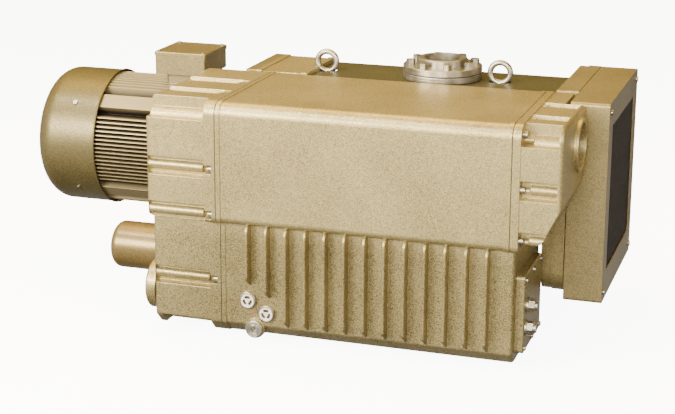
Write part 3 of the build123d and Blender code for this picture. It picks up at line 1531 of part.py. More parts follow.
with BuildPart() as motor_flange_bolts:
    with BuildSketch(Plane.YZ.offset(flange_x0)):
        with Locations(*motor_bolt_axes):
            RegularPolygon(8, 6, major_radius=False)
    extrude(amount=-7)
    with BuildSketch(Plane.YZ.offset(flange_x0)):
        with Locations(*motor_bolt_axes):
            Circle(motor_bolt / 2)
    extrude(amount=motor_flange + housing_flange - 2)
motor_flange_bolts.part.label = "motor_flange_bolts"
export_step(motor_flange_bolts.part, "parts/motor_flange_bolts.step")

# ---------------------------------------------------------------- motor
stator_outer = frame_radius - 10.0
rotor_core_radius = 88.0
air_gap = 1.0
stator_x0 = (frame_x0 + frame_x1) / 2 - stator_length / 2
stator_x1 = stator_x0 + stator_length
motor_bearing_radius = 50.0
seat_length = 26.0
terminal_x0, terminal_x1 = box_x0 - 380.0, box_x0 - 224.0
terminal_y0, terminal_y1 = shaft_y - 85.0, shaft_y + 82.0
terminal_z0, terminal_z1 = sump + 596.0, sump + 651.0
terminal_lid = 11.0
terminal_wall = 5.0
terminal_centre = ((terminal_x0 + terminal_x1) / 2, (terminal_y0 + terminal_y1) / 2)
terminal_neck = (110.0, 110.0)
fin_count_side = int(frame_radius * 1.3 // fin_pitch)
fin_end_gap = 30.0

with BuildPart() as motor_frame:
    with BuildSketch(Plane.YZ.offset(frame_x0)):
        with Locations((shaft_y, shaft_z)):
            Circle(frame_radius)
        # Parallel fins on the four sides, cut to the frame's circle
        with BuildSketch(mode=Mode.PRIVATE) as fins:
            for n in range(fin_count_side):
                offset_from_axis = (n - (fin_count_side - 1) / 2) * fin_pitch
                with Locations((shaft_y, shaft_z + offset_from_axis)):
                    Rectangle(2 * fin_reach, fin_thickness)
                with Locations((shaft_y + offset_from_axis, shaft_z)):
                    Rectangle(fin_thickness, 2 * fin_reach)
            with Locations((shaft_y, shaft_z)):
                Circle(fin_reach, mode=Mode.INTERSECT)
        add(fins.sketch)
        # Flat pads on the diagonals
        for turn in (45, 135, 225, 315):
            middle = polar(shaft_y, shaft_z, frame_radius + 14, turn)
            with Locations(Location((middle[0], middle[1], 0), (0, 0, turn))):
                Rectangle(46, 44)
    extrude(amount=motor_length)
    # The fins end short of the flange, to leave room for its bolts
    with BuildSketch(Plane.YZ.offset(frame_x1 - fin_end_gap)):
        with Locations((shaft_y, shaft_z)):
            Circle(fin_reach + 40)
            Circle(frame_radius + 4, mode=Mode.SUBTRACT)
    extrude(amount=fin_end_gap, mode=Mode.SUBTRACT)
    # A neck carries the terminal box
    with BuildSketch(Plane.XY.offset(shaft_z + frame_radius - 20)):
        with Locations(terminal_centre):
            RectangleRounded(*terminal_neck, 10)
    extrude(amount=terminal_z0 - shaft_z - frame_radius + 20)
    with BuildSketch(Plane.XY.offset(shaft_z + frame_radius - 20)):
        with Locations(terminal_centre):
            RectangleRounded(terminal_neck[0] - 20, terminal_neck[1] - 20, 8)
    extrude(amount=terminal_z0 - shaft_z, mode=Mode.SUBTRACT)
    with BuildSketch(Plane.YZ.offset(frame_x0)):
        with Locations((shaft_y, shaft_z)):
            Circle(stator_outer + 0.1)
    extrude(amount=motor_length, mode=Mode.SUBTRACT)
motor_frame.part.label = "motor_frame"
export_step(motor_frame.part, "parts/motor_frame.step")

with BuildPart() as motor_stator:
    with BuildSketch(Plane.YZ.offset(stator_x0)):
        with Locations((shaft_y, shaft_z)):
            Circle(stator_outer)
            Circle(rotor_core_radius + air_gap, mode=Mode.SUBTRACT)
    extrude(amount=stator_length)
    for x, way in ((stator_x0, -1), (stator_x1, 1)):
        with BuildSketch(Plane.YZ.offset(x)):
            with Locations((shaft_y, shaft_z)):
                Circle(stator_outer - 12)
                Circle(rotor_core_radius + 8, mode=Mode.SUBTRACT)
        extrude(amount=way * 46)
motor_stator.part.label = "motor_stator"
export_step(motor_stator.part, "parts/motor_stator.step")

fan_end_x = cowl_x0 + 34.0
motor_shaft_x1 = spider_x0 - claw_gap - 1
motor_drive_bearing = (frame_x1 - 20.0, frame_x1 + 6.0)
motor_rear_bearing = (frame_x0 - 6.0, frame_x0 + 20.0)
with BuildPart() as motor_rotor:
    with BuildSketch(Plane.YZ.offset(stator_x0)):
        with Locations((shaft_y, shaft_z)):
            Circle(rotor_core_radius)
    extrude(amount=stator_length)
    with BuildSketch(Plane.YZ.offset(stator_x0 - 18)):
        with Locations((shaft_y, shaft_z)):
            Circle(rotor_core_radius - 8)
            Circle(rotor_core_radius - 26, mode=Mode.SUBTRACT)
    extrude(amount=stator_length + 36)
    with BuildSketch(Plane.YZ.offset(fan_end_x)):
        with Locations((shaft_y, shaft_z)):
            Circle(motor_shaft_radius)
    extrude(amount=motor_shaft_x1 - fan_end_x)
motor_rotor.part.label = "motor_rotor"
export_step(motor_rotor.part, "parts/motor_rotor.step")

with BuildPart() as motor_drive_shield:
    with BuildSketch(Plane.YZ.offset(flange_x0)):
        add(lantern_outline(0))
        with Locations((shaft_y, shaft_z)):
            Circle(cylinder_radius + 5)
    extrude(amount=motor_flange)
    with BuildSketch(Plane.YZ.offset(flange_x1)):
        with Locations((shaft_y, shaft_z)):
            Circle(motor_bearing_radius + 40)
    extrude(amount=-12, mode=Mode.SUBTRACT)
    with BuildSketch(Plane.YZ.offset(flange_x0)):
        with Locations((shaft_y, shaft_z)):
            Circle(motor_bearing_radius + 10)
    extrude(amount=-seat_length + 4)
    with BuildSketch(Plane.YZ.offset(motor_drive_bearing[0] - 5)):
        with Locations((shaft_y, shaft_z)):
            Circle(motor_bearing_radius)
    extrude(amount=motor_drive_bearing[1] - motor_drive_bearing[0] + 5, mode=Mode.SUBTRACT)
    with BuildSketch(Plane.YZ.offset(flange_x1)):
        with Locations((shaft_y, shaft_z)):
            Circle(motor_shaft_radius + 0.5)
    extrude(amount=-motor_flange - 30, mode=Mode.SUBTRACT)
    with BuildSketch(Plane.YZ.offset(flange_x1)):
        with Locations(*motor_bolt_axes):
            Circle(motor_bolt / 2 + screw_clearance)
    extrude(amount=-motor_flange, mode=Mode.SUBTRACT)
motor_drive_shield.part.label = "motor_drive_shield"
export_step(motor_drive_shield.part, "parts/motor_drive_shield.step")

cowl_screw_x = cowl_x1 - 74.0
cowl_screw_turns = (40.0, 140.0, 220.0, 320.0)
lug_inner = frame_radius - 8.0
lug_outer = cowl_radius - cowl_sheet - 1.0
lug_height = 18.0
lug_width = 22.0
with BuildPart() as motor_rear_shield:
    with BuildSketch(Plane.YZ.offset(frame_x0)):
        with Locations((shaft_y, shaft_z)):
            Circle(frame_radius)
    extrude(amount=-14)
    with BuildSketch(Plane.YZ.offset(frame_x0)):
        with Locations((shaft_y, shaft_z)):
            Circle(motor_bearing_radius + 10)
    extrude(amount=seat_length - 4)
    with BuildSketch(Plane.YZ.offset(motor_rear_bearing[1] + 5)):
        with Locations((shaft_y, shaft_z)):
            Circle(motor_bearing_radius)
    extrude(amount=-(motor_rear_bearing[1] - motor_rear_bearing[0] + 5), mode=Mode.SUBTRACT)
    with BuildSketch(Plane.YZ.offset(frame_x0 + 1)):
        with Locations((shaft_y, shaft_z)):
            Circle(motor_shaft_radius + 0.5)
    extrude(amount=-30, mode=Mode.SUBTRACT)
    # Arms and lugs that carry the cowl
    with BuildSketch(Plane.YZ.offset(frame_x0 - 14)):
        for turn in cowl_screw_turns:
            middle = polar(shaft_y, shaft_z, (lug_inner + lug_outer) / 2, turn)
            with Locations(Location((middle[0], middle[1], 0), (0, 0, turn))):
                Rectangle(lug_outer - lug_inner, lug_width)
    extrude(amount=14)
    with BuildSketch(Plane.YZ.offset(frame_x0 - 14)):
        for turn in cowl_screw_turns:
            middle = polar(shaft_y, shaft_z, lug_outer - lug_height / 2, turn)
            with Locations(Location((middle[0], middle[1], 0), (0, 0, turn))):
                Rectangle(lug_height, lug_width)
    extrude(amount=cowl_screw_x - 12 - frame_x0 + 14)
    for turn in cowl_screw_turns:
        with BuildSketch(Plane(origin=(cowl_screw_x, shaft_y, shaft_z), z_dir=polar3(turn))):
            Circle(3 + thread_clearance)
        extrude(amount=cowl_radius + 2, mode=Mode.SUBTRACT)
motor_rear_shield.part.label = "motor_rear_shield"
export_step(motor_rear_shield.part, "parts/motor_rear_shield.step")

with BuildPart() as motor_bearings:
    for x0, x1 in (motor_drive_bearing, motor_rear_bearing):
        with BuildSketch(Plane.YZ.offset(x0)):
            with Locations((shaft_y, shaft_z)):
                Circle(motor_bearing_radius - 0.1)
                Circle(motor_shaft_radius + running_clearance, mode=Mode.SUBTRACT)
        extrude(amount=x1 - x0)
motor_bearings.part.label = "motor_bearings"
export_step(motor_bearings.part, "parts/motor_bearings.step")

motor_fan_x0 = fan_end_x + 4.0
motor_fan_width = 46.0
motor_fan_radius = cowl_radius - 34.0
blade_count = 7
with BuildPart() as motor_fan:
    with BuildSketch(Plane.YZ.offset(motor_fan_x0)):
        with Locations((shaft_y, shaft_z)):
            Circle(motor_shaft_radius + 18)
    extrude(amount=motor_fan_width)
    with BuildSketch(Plane.YZ.offset(motor_fan_x0 + motor_fan_width - 6)):
        with Locations((shaft_y, shaft_z)):
            Circle(motor_fan_radius)
    extrude(amount=6)
    with BuildSketch(Plane.YZ.offset(motor_fan_x0)):
        for n in range(blade_count):
            turn = 360 / blade_count * n
            middle = polar(shaft_y, shaft_z, (motor_fan_radius + motor_shaft_radius + 10) / 2, turn)
            with Locations(Location((middle[0], middle[1], 0), (0, 0, turn))):
                Rectangle(motor_fan_radius - motor_shaft_radius - 12, 4)
    extrude(amount=motor_fan_width)
    with BuildSketch(Plane.YZ.offset(motor_fan_x0)):
        with Locations((shaft_y, shaft_z)):
            Circle(motor_shaft_radius)
    extrude(amount=motor_fan_width, mode=Mode.SUBTRACT)
motor_fan.part.label = "motor_fan"
export_step(motor_fan.part, "parts/motor_fan.step")

# ---------------------------------------------------------------- fan cowl
cowl_shoulder = 58.0
grille_radius = 128.0
grille_rings = 5
with BuildPart() as fan_cowl:
    with BuildSketch(Plane.YZ.offset(cowl_x0)):
        with Locations((shaft_y, shaft_z)):
            Circle(cowl_radius)
    extrude(amount=cowl_length)
    fillet(fan_cowl.edges().group_by(Axis.X)[0], cowl_shoulder)
    offset(amount=-cowl_sheet, openings=fan_cowl.faces().sort_by(Axis.X)[-1], kind=Kind.INTERSECTION)
    # Air slots in the end: rings broken by eight spokes
    with BuildSketch(Plane.YZ.offset(cowl_x0 - 1)):
        with Locations((shaft_y, shaft_z)):
            for n in range(grille_rings):
                outer = grille_radius - n * 24
                Circle(outer)
                Circle(outer - 15, mode=Mode.SUBTRACT)
        for n in range(4):
            with Locations(Location((shaft_y, shaft_z, 0), (0, 0, 45 * n))):
                Rectangle(2 * grille_radius + 10, 9, mode=Mode.SUBTRACT)
    extrude(amount=cowl_sheet + 2, mode=Mode.SUBTRACT)
    for turn in cowl_screw_turns:
        with BuildSketch(Plane(origin=(cowl_screw_x, shaft_y, shaft_z), z_dir=polar3(turn))):
            Circle(4.5)
        extrude(amount=cowl_radius + 2, mode=Mode.SUBTRACT)
fan_cowl.part.label = "fan_cowl"
export_step(fan_cowl.part, "parts/fan_cowl.step")

# ---------------------------------------------------------------- terminal box
cable_entry_radius = 20.0
with BuildPart() as terminal_box:
    with BuildSketch(Plane.XY.offset(terminal_z0)):
        with Locations(terminal_centre):
            RectangleRounded(terminal_x1 - terminal_x0, terminal_y1 - terminal_y0, 5)
    extrude(amount=terminal_z1 - terminal_z0)
    with BuildSketch(Plane.XY.offset(terminal_z1)):
        with Locations(terminal_centre):
            RectangleRounded(
                terminal_x1 - terminal_x0 - 2 * terminal_wall,
                terminal_y1 - terminal_y0 - 2 * terminal_wall,
                4,
            )
    extrude(amount=-(terminal_z1 - terminal_z0 - terminal_wall), mode=Mode.SUBTRACT)
    with BuildSketch(across(terminal_y1 + 1)):
        with Locations((terminal_centre[0], (terminal_z0 + terminal_z1) / 2)):
            Circle(cable_entry_radius)
    extrude(amount=terminal_wall + 2, mode=Mode.SUBTRACT)
    with BuildSketch(Plane.XY.offset(terminal_z0)):
        with Locations(terminal_centre):
            Circle(30)
    extrude(amount=terminal_wall, mode=Mode.SUBTRACT)
    # Corner posts for the lid's screws
    with BuildSketch(Plane.XY.offset(terminal_z0)):
        with Locations(terminal_centre):
            with GridLocations(terminal_x1 - terminal_x0 - 20, terminal_y1 - terminal_y0 - 20, 2, 2):
                Circle(7)
                Circle(2.6, mode=Mode.SUBTRACT)
    extrude(amount=terminal_z1 - terminal_z0)
terminal_box.part.label = "terminal_box"
export_step(terminal_box.part, "parts/terminal_box.step")

with BuildPart() as terminal_box_lid:
    with BuildSketch(Plane.XY.offset(terminal_z1)):
        with Locations(terminal_centre):
            RectangleRounded(terminal_x1 - terminal_x0 + 4, terminal_y1 - terminal_y0 + 4, 6)
    extrude(amount=terminal_lid)
    chamfer(terminal_box_lid.edges().group_by(Axis.Z)[-1], 1.5)
    with BuildSketch(Plane.XY.offset(terminal_z1)):
        with Locations(terminal_centre):
            with GridLocations(terminal_x1 - terminal_x0 - 20, terminal_y1 - terminal_y0 - 20, 2, 2):
                Circle(2.9)
    extrude(amount=terminal_lid, mode=Mode.SUBTRACT)
terminal_box_lid.part.label = "terminal_box_lid"
export_step(terminal_box_lid.part, "parts/terminal_box_lid.step")

# ---------------------------------------------------------------- cooling fan and shroud
shroud_x1 = cooler_x0 - 2.0
cooler_high = top + 1.0
cooler_low = cooler_high - cooler_height
shroud_low = cooler_low + 12.0
shroud_high = cooler_high
shroud_seam = 26.0  # flange of the shroud starts this far from its left end
shroud_step = 2.0
shroud_corner = 60.0
shroud_notch_y = box_rear + 10.0
shroud_notch_z = shelf - 9.0
fan_tip_gap = 8.0  # shroud opening beyond the blade tips


def shroud_outline(inset):
    """The shroud's outline in the YZ plane: rounded below, stepped in under the separator's shelf."""
    with BuildSketch() as outline:
        with BuildLine():
            FilletPolyline(
                (cooler_y0 + inset, shroud_low + inset),
                (cooler_y0 + inset, shroud_notch_z - inset),
                (shroud_notch_y + inset, shroud_notch_z - inset),
                (shroud_notch_y + inset, shroud_high - inset),
                (cooler_y1 - inset, shroud_high - inset),
                (cooler_y1 - inset, shroud_low + inset),
                radius=[shroud_corner - inset, 4, 4, 4, 4, shroud_corner - inset],
                close=True,
            )
        make_face()
    return outline.sketch


with BuildPart() as fan_shroud:
    with BuildSketch(Plane.YZ.offset(shroud_x0)):
        add(shroud_outline(shroud_step))
    extrude(amount=shroud_seam)
    with BuildSketch(Plane.YZ.offset(shroud_x0 + shroud_seam)):
        add(shroud_outline(0))
    extrude(amount=shroud_x1 - shroud_x0 - shroud_seam)
    with BuildSketch(Plane.YZ.offset(shroud_x0 + sheet)):
        add(shroud_outline(shroud_step + sheet))
    extrude(amount=shroud_x1 - shroud_x0, mode=Mode.SUBTRACT)
    with BuildSketch(Plane.YZ.offset(shroud_x0)):
        with Locations((shaft_y, shaft_z)):
            Circle(fan_radius + fan_tip_gap)
    extrude(amount=sheet + 1, mode=Mode.SUBTRACT)
fan_shroud.part.label = "fan_shroud"
export_step(fan_shroud.part, "parts/fan_shroud.step")

fan_blades = 8
fan_hub_radius = 48.0
blade_chord = 44.0
blade_thickness = 4.0
blade_pitch = 50.0
blade_reach = fan_radius - 2.0 - fan_hub_radius  # corners stay inside the fan's radius
with BuildPart() as cooling_fan:
    with BuildSketch(Plane.YZ.offset(fan_hub_x0)):
        with Locations((shaft_y, shaft_z)):
            Circle(fan_hub_radius)
    extrude(amount=fan_width)
    for n in range(fan_blades):
        root = Plane(
            origin=(fan_hub_x0 + fan_width / 2, shaft_y, shaft_z),
            z_dir=polar3(360 / fan_blades * n),
            x_dir=(1, 0, 0),
        ).offset(fan_hub_radius - 4)
        with BuildSketch(root):
            Rectangle(blade_chord, blade_thickness, rotation=blade_pitch)
        extrude(amount=blade_reach)
    with BuildSketch(Plane.YZ.offset(fan_hub_x0)):
        with Locations((shaft_y, shaft_z)):
            Circle(journal_radius)
    extrude(amount=fan_width, mode=Mode.SUBTRACT)
cooling_fan.part.label = "cooling_fan"
export_step(cooling_fan.part, "parts/cooling_fan.step")

# ---------------------------------------------------------------- cooler
window_side = 58.0
window_low = 76.0
window_high = 67.0
window = (
    cooler_y0 + window_side + 2,
    cooler_y1 - window_side,
    cooler_low + window_low,
    cooler_high - window_high,
)
window_centre = ((window[0] + window[1]) / 2, (window[2] + window[3]) / 2)
window_size = (window[1] - window[0], window[3] - window[2])
cooler_screw_inset = 26.0
cooler_corners = [
    (y, z)
    for y in (cooler_y0 + cooler_screw_inset, cooler_y1 - cooler_screw_inset)
    for z in (cooler_low + cooler_screw_inset, cooler_high - cooler_screw_inset)
]
with BuildPart() as cooler_housing:
    with BuildSketch(Plane.YZ.offset(cooler_x0)):
        with Locations((shaft_y, (cooler_low + cooler_high) / 2)):
            RectangleRounded(cooler_depth, cooler_height, 9)
    extrude(amount=cooler_thickness)
    with BuildSketch(Plane.YZ.offset(cooler_x0)):
        with Locations((shaft_y, (cooler_low + cooler_high) / 2)):
            RectangleRounded(cooler_depth - 2 * sheet, cooler_height - 2 * sheet, 6)
    extrude(amount=cooler_thickness - sheet, mode=Mode.SUBTRACT)
    # A lip turned in all round at the open side
    with BuildSketch(Plane.YZ.offset(cooler_x0)):
        with Locations((shaft_y, (cooler_low + cooler_high) / 2)):
            RectangleRounded(cooler_depth - 2, cooler_height - 2, 8)
            RectangleRounded(cooler_depth - 60, cooler_height - 60, 4, mode=Mode.SUBTRACT)
    extrude(amount=sheet)
    with BuildSketch(Plane.YZ.offset(cooler_x1)):
        with Locations(window_centre):
            RectangleRounded(*window_size, 3)
    extrude(amount=-2 * sheet, mode=Mode.SUBTRACT)
    with BuildSketch(Plane.YZ.offset(cooler_x1)):
        with Locations(*cooler_corners):
            Circle(3.5)
    extrude(amount=-2 * sheet, mode=Mode.SUBTRACT)
cooler_housing.part.label = "cooler_housing"
export_step(cooler_housing.part, "parts/cooler_housing.step")

core_x1 = cooler_x1 - sheet - 1.0
core_x0 = core_x1 - 62.0
slot_count = 26
core_margin = 16.0
with BuildPart() as radiator_core:
    with BuildSketch(Plane.YZ.offset(core_x0)):
        with Locations(window_centre):
            Rectangle(window_size[0] + 2 * core_margin, window_size[1] + 2 * core_margin)
    extrude(amount=core_x1 - core_x0)
    with BuildSketch(Plane.YZ.offset(core_x1)):
        with Locations(window_centre):
            with GridLocations(window_size[0] / slot_count, 0, slot_count, 1):
                Rectangle(window_size[0] / slot_count * 0.55, window_size[1] - 4)
    extrude(amount=-14, mode=Mode.SUBTRACT)
    # Brackets to the housing above and below
    with BuildSketch(Plane.YZ.offset(core_x0 + 8)):
        for edge, reach in (
            (window[2] - core_margin, cooler_low + sheet),
            (window[3] + core_margin, cooler_high - sheet),
        ):
            for way in (-1, 1):
                with Locations((window_centre[0] + way * window_size[0] / 3, (edge + reach) / 2)):
                    Rectangle(60, abs(reach - edge))
    extrude(amount=4)
radiator_core.part.label = "radiator_core"
export_step(radiator_core.part, "parts/radiator_core.step")

with BuildPart() as pan_head_screws:
    # Fan cowl
    for turn in cowl_screw_turns:
        seat = Plane(origin=(cowl_screw_x, shaft_y, shaft_z), z_dir=polar3(turn)).offset(cowl_radius + 0.3)
        with BuildSketch(seat):
            Circle(7)
        extrude(amount=3.5)
        with BuildSketch(seat):
            Circle(3)
        extrude(amount=-(cowl_sheet + 16))
    # Terminal box lid
    for radius, length in ((5, 3), (2.5, -30)):
        with BuildSketch(Plane.XY.offset(terminal_z1 + terminal_lid)):
            with Locations(terminal_centre):
                with GridLocations(terminal_x1 - terminal_x0 - 20, terminal_y1 - terminal_y0 - 20, 2, 2):
                    Circle(radius)
        extrude(amount=length)
    # Cooler
    for radius, length in ((7.5, screw_head), (3, -16)):
        with BuildSketch(Plane.YZ.offset(cooler_x1)):
            with Locations(*cooler_corners):
                Circle(radius)
        extrude(amount=length)
pan_head_screws.part.label = "pan_head_screws"
export_step(pan_head_screws.part, "parts/pan_head_screws.step")
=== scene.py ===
from math import cos, pi, radians, sin

import bmesh
import bpy
from mathutils import Matrix, Vector


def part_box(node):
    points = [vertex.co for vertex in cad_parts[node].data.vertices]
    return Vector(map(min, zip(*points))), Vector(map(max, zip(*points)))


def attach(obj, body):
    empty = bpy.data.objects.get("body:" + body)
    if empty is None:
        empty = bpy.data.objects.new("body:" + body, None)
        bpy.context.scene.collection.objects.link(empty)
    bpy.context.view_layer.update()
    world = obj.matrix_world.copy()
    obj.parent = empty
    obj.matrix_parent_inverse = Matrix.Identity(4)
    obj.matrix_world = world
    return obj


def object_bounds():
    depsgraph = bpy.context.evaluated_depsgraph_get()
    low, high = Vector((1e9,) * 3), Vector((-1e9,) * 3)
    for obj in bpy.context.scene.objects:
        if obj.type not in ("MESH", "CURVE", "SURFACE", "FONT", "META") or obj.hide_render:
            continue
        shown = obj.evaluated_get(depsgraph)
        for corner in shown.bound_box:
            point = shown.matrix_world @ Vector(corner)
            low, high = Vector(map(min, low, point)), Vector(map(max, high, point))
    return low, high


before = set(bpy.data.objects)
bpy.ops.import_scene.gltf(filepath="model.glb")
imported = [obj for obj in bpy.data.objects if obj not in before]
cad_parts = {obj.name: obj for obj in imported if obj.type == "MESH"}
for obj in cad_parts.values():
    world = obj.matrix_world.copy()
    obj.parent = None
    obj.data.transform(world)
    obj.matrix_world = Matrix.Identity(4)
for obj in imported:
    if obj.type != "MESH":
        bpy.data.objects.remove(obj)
cad_low, cad_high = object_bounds()

# Rotary vane vacuum pump. The castings, the motor and the cooler are the frame's own solids,
# which get their finishes here. What sheet metal, paint and glass add to them is modelled on top.


# Separator housing: the ribbed sand casting in the middle, with its two end covers, the plate on
# the sump and the float chamber's cap. Shot blasted and sprayed champagne gold, with fine
# metallic flakes in the paint that sparkle a little on the flats.
class Wire:
    """A value on its way through a material's nodes; arithmetic on it adds Math nodes."""

    def __init__(self, tree, socket=None):
        self.tree = tree
        self.socket = socket

    def node(self, kind, settings=None, inputs=None, output=0):
        made = self.tree.nodes.new(kind)
        for name, value in (settings or {}).items():
            if name == "stops":
                ramp = made.color_ramp
                while len(ramp.elements) < len(value):
                    ramp.elements.new(0.5)
                for element, (place, colour) in zip(ramp.elements, value):
                    element.position = place
                    element.color = (*colour, 1)
            else:
                setattr(made, name, value)
        for name, value in (inputs or {}).items():
            if isinstance(value, Wire):
                self.tree.links.new(value.socket, made.inputs[name])
            else:
                made.inputs[name].default_value = value
        return Wire(self.tree, made.outputs[output])

    def math(self, operation, first, second=0.0):
        return self.node("ShaderNodeMath", {"operation": operation}, {0: first, 1: second})

    def __add__(self, other):
        return self.math("ADD", self, other)

    def __sub__(self, other):
        return self.math("SUBTRACT", self, other)

    def __rsub__(self, other):
        return self.math("SUBTRACT", other, self)

    def __mul__(self, other):
        return self.math("MULTIPLY", self, other)

    __radd__ = __add__
    __rmul__ = __mul__


def finish(name, **constants):
    """A new material: its shader, and the place on the object to start patterns from."""
    material = bpy.data.materials.new(name)
    material.use_nodes = True
    tree = material.node_tree
    shader = tree.nodes["Principled BSDF"]
    for socket, value in constants.items():
        shader.inputs[socket.replace("_", " ")].default_value = value
    place = Wire(tree).node("ShaderNodeTexCoord", output="Object")
    return material, shader, place


def feed(shader, **wires):
    """Links wires to the shader's sockets."""
    for socket, wire in wires.items():
        wire.tree.links.new(wire.socket, shader.inputs[socket.replace("_", " ")])


def noise(place, scale, detail=3.0, roughness=0.55):
    """Soft cloudy variation over the surface, from 0 to 1."""
    return place.node(
        "ShaderNodeTexNoise",
        inputs={"Vector": place, "Scale": scale, "Detail": detail, "Roughness": roughness},
    )


def flakes(place, scale):
    """One random value for each metal flake in a paint."""
    cells = place.node(
        "ShaderNodeTexVoronoi", inputs={"Vector": place, "Scale": scale}, output="Color"
    )
    return cells.node("ShaderNodeSeparateColor", inputs={0: cells})


def ramp(value, *stops):
    """A colour between stops as value goes from 0 to 1."""
    return value.node("ShaderNodeValToRGB", {"stops": stops}, {0: value})


def fade(value, start, end, most=1.0, least=0.0):
    """Goes from least to most as value goes from start to end."""
    limits = {"Value": value, "From Min": start, "From Max": end, "To Min": least, "To Max": most}
    return value.node("ShaderNodeMapRange", inputs=limits)


edge_gain = 5.0  # how fast wear shows as a surface turns over an edge


def worn_edges(place, radius):
    """The rounded normal of an edge, and how near the edge a point is, from 0 to 1."""
    rounded = place.node("ShaderNodeBevel", {"samples": 6}, {"Radius": radius})
    flat = place.node("ShaderNodeNewGeometry", output="Normal")
    facing = place.node(
        "ShaderNodeVectorMath", {"operation": "DOT_PRODUCT"}, {0: rounded, 1: flat}, output="Value"
    )
    edge = place.node(
        "ShaderNodeMath", {"operation": "MULTIPLY", "use_clamp": True}, {0: 1 - facing, 1: edge_gain}
    )
    return rounded, edge


def bumped(height, distance, normal=None, strength=1.0):
    """A surface that stands proud by distance where height is 1."""
    inputs = {"Height": height, "Distance": distance, "Strength": strength}
    if normal:
        inputs["Normal"] = normal
    return height.node("ShaderNodeBump", inputs=inputs)


flake_scale = 620.0
cloud_scale = 5.0
painted_shade_fade = 0.05  # height over which the painted shade fades out
painted_shade_depth = 0.11


def metallic_paint(
    name, dark, light, edge_radius, grain, grain_height, metal=0.76, smooth=0.36, painted_shade_below=0
):
    """Sprayed metallic paint over a skin with that grain; edges round off and polish a little.
    Below a height, the colour is darkened as painted shade."""
    material, shader, place = finish(name, Coat_Roughness=0.22, Coat_IOR=1.45)
    skin = noise(place, grain, 4.0, 0.6)
    cloud = noise(place, cloud_scale, 3.0)
    sparkle = flakes(place, flake_scale)
    rounded, edge = worn_edges(place, edge_radius)
    tone = skin * 0.40 + cloud * 0.20 + sparkle * 0.34 + edge * 0.20
    # Painted shade: below the given height the colour is darkened, where the upper chamber's
    # overhang shades the sump.
    if painted_shade_below:
        height = place.node("ShaderNodeSeparateXYZ", inputs={0: place}, output=2)
        unshaded = fade(height, painted_shade_below - painted_shade_fade, painted_shade_below + 0.01)
        tone = tone - painted_shade_depth + unshaded * painted_shade_depth
    colour = ramp(tone, (0.18, dark), (0.70, light))
    feed(
        shader,
        Base_Color=colour,
        Metallic=metal - 0.15 * cloud,
        Roughness=smooth + 0.16 * skin - 0.10 * sparkle - 0.08 * edge,
        Coat_Weight=0.03 + 0.10 * cloud,
        Normal=bumped(skin, grain_height, rounded, 0.7),
    )
    return material


def dress(material, *names):
    """Gives CAD nodes or pieces that finish."""
    for name in names:
        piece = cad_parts.get(name) or bpy.data.objects[name]
        piece.data.materials.clear()
        piece.data.materials.append(material)


overhang_height = 0.331  # underside of the upper chamber, above the sump's ribs
# Painted shade darkens this paint below the overhang's height.
casting = metallic_paint(
    "champagne_casting",
    (0.085, 0.066, 0.022),
    (0.640, 0.515, 0.235),
    0.0022,
    330.0,
    0.0006,
    painted_shade_below=overhang_height,
)
dress(
    casting,
    "separator_housing",
    "left_end_cover",
    "exhaust_cover",
    "sump_end_plate",
    "float_chamber_cover",
    "coupling_housing",
)

# Pump stage: the finned iron cylinder with its end covers, behind the separator and mostly in
# shade. Iron castings take the same paint, but it lies rougher, and its colour is painted far darker
# as painted shade.
# Painted shade: these colours are several times darker than the castings' paint.
shaded_iron_casting = metallic_paint(
    "shade_darkened_iron_casting_paint",
    (0.040, 0.030, 0.014),
    (0.190, 0.145, 0.075),
    0.0020,
    240.0,
    0.0007,
    metal=0.45,
    smooth=0.46,
)
dress(
    shaded_iron_casting,
    "pump_cylinder",
    "drive_end_cover",
    "fan_end_cover",
    "pump_coupling_hub",
    "motor_coupling_hub",
)

# Motor: die cast aluminium frame with thin cooling fins, end shields and terminal box. The fins'
# outer edges are painted light and the gaps between them near black, as painted shade.
motor_material, shader, place = finish("finned_motor_paint", Coat_Roughness=0.25)
middle = (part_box("motor_rotor")[0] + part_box("motor_rotor")[1]) / 2
from_shaft = place.node(
    "ShaderNodeMapping",
    inputs={"Vector": place, "Location": (0, -middle.y, -middle.z), "Scale": (0, 1, 1)},
)
depth = place.node("ShaderNodeVectorMath", {"operation": "LENGTH"}, {0: from_shaft}, output="Value")
fin_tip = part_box("motor_frame")[1].y - middle.y
painted_shade_share = 0.86  # painted shade lies deeper than this share of the way out to the fins' tips
unshaded = fade(depth, fin_tip * painted_shade_share, fin_tip)
skin = noise(place, 420.0, 4.0)
cloud = noise(place, 6.0)
rounded, edge = worn_edges(place, 0.0012)
# Painted shade: the colour goes near black deeper down between the fins and stays light at their
# tips.
tone = unshaded * 0.42 + skin * 0.22 + cloud * 0.12 + edge * 0.25
feed(
    shader,
    Base_Color=ramp(tone, (0.26, (0.012, 0.008, 0.005)), (0.78, (0.420, 0.330, 0.160))),
    Metallic=0.35 + 0.3 * unshaded,
    Roughness=0.58 - 0.18 * unshaded + 0.10 * skin,
    Coat_Weight=0.12 * unshaded,
    Normal=bumped(skin, 0.0003, rounded, 0.6),
)
dress(motor_material, "motor_frame")
shield_paint = metallic_paint(
    "motor_shield_paint", (0.080, 0.062, 0.022), (0.440, 0.348, 0.150), 0.0016, 420.0, 0.0003
)
dress(shield_paint, "motor_drive_shield", "motor_rear_shield", "terminal_box", "terminal_box_lid")

# Fan cowl: one deep drawn steel cap over the motor's fan, smoother than the castings, so the
# paint keeps a satin gloss. Its open edge is rolled over a wire into a bead.
cowl_paint = metallic_paint(
    "satin_cowl_paint",
    (0.040, 0.032, 0.010),
    (0.190, 0.150, 0.058),
    0.0030,
    420.0,
    0.00012,
    metal=0.66,
    smooth=0.38,
)
dress(cowl_paint, "fan_cowl")
cowl_low, cowl_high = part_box("fan_cowl")
cowl_middle = (cowl_low + cowl_high) / 2
cowl_radius = (cowl_high.z - cowl_low.z) / 2
bead_radius = 0.0028


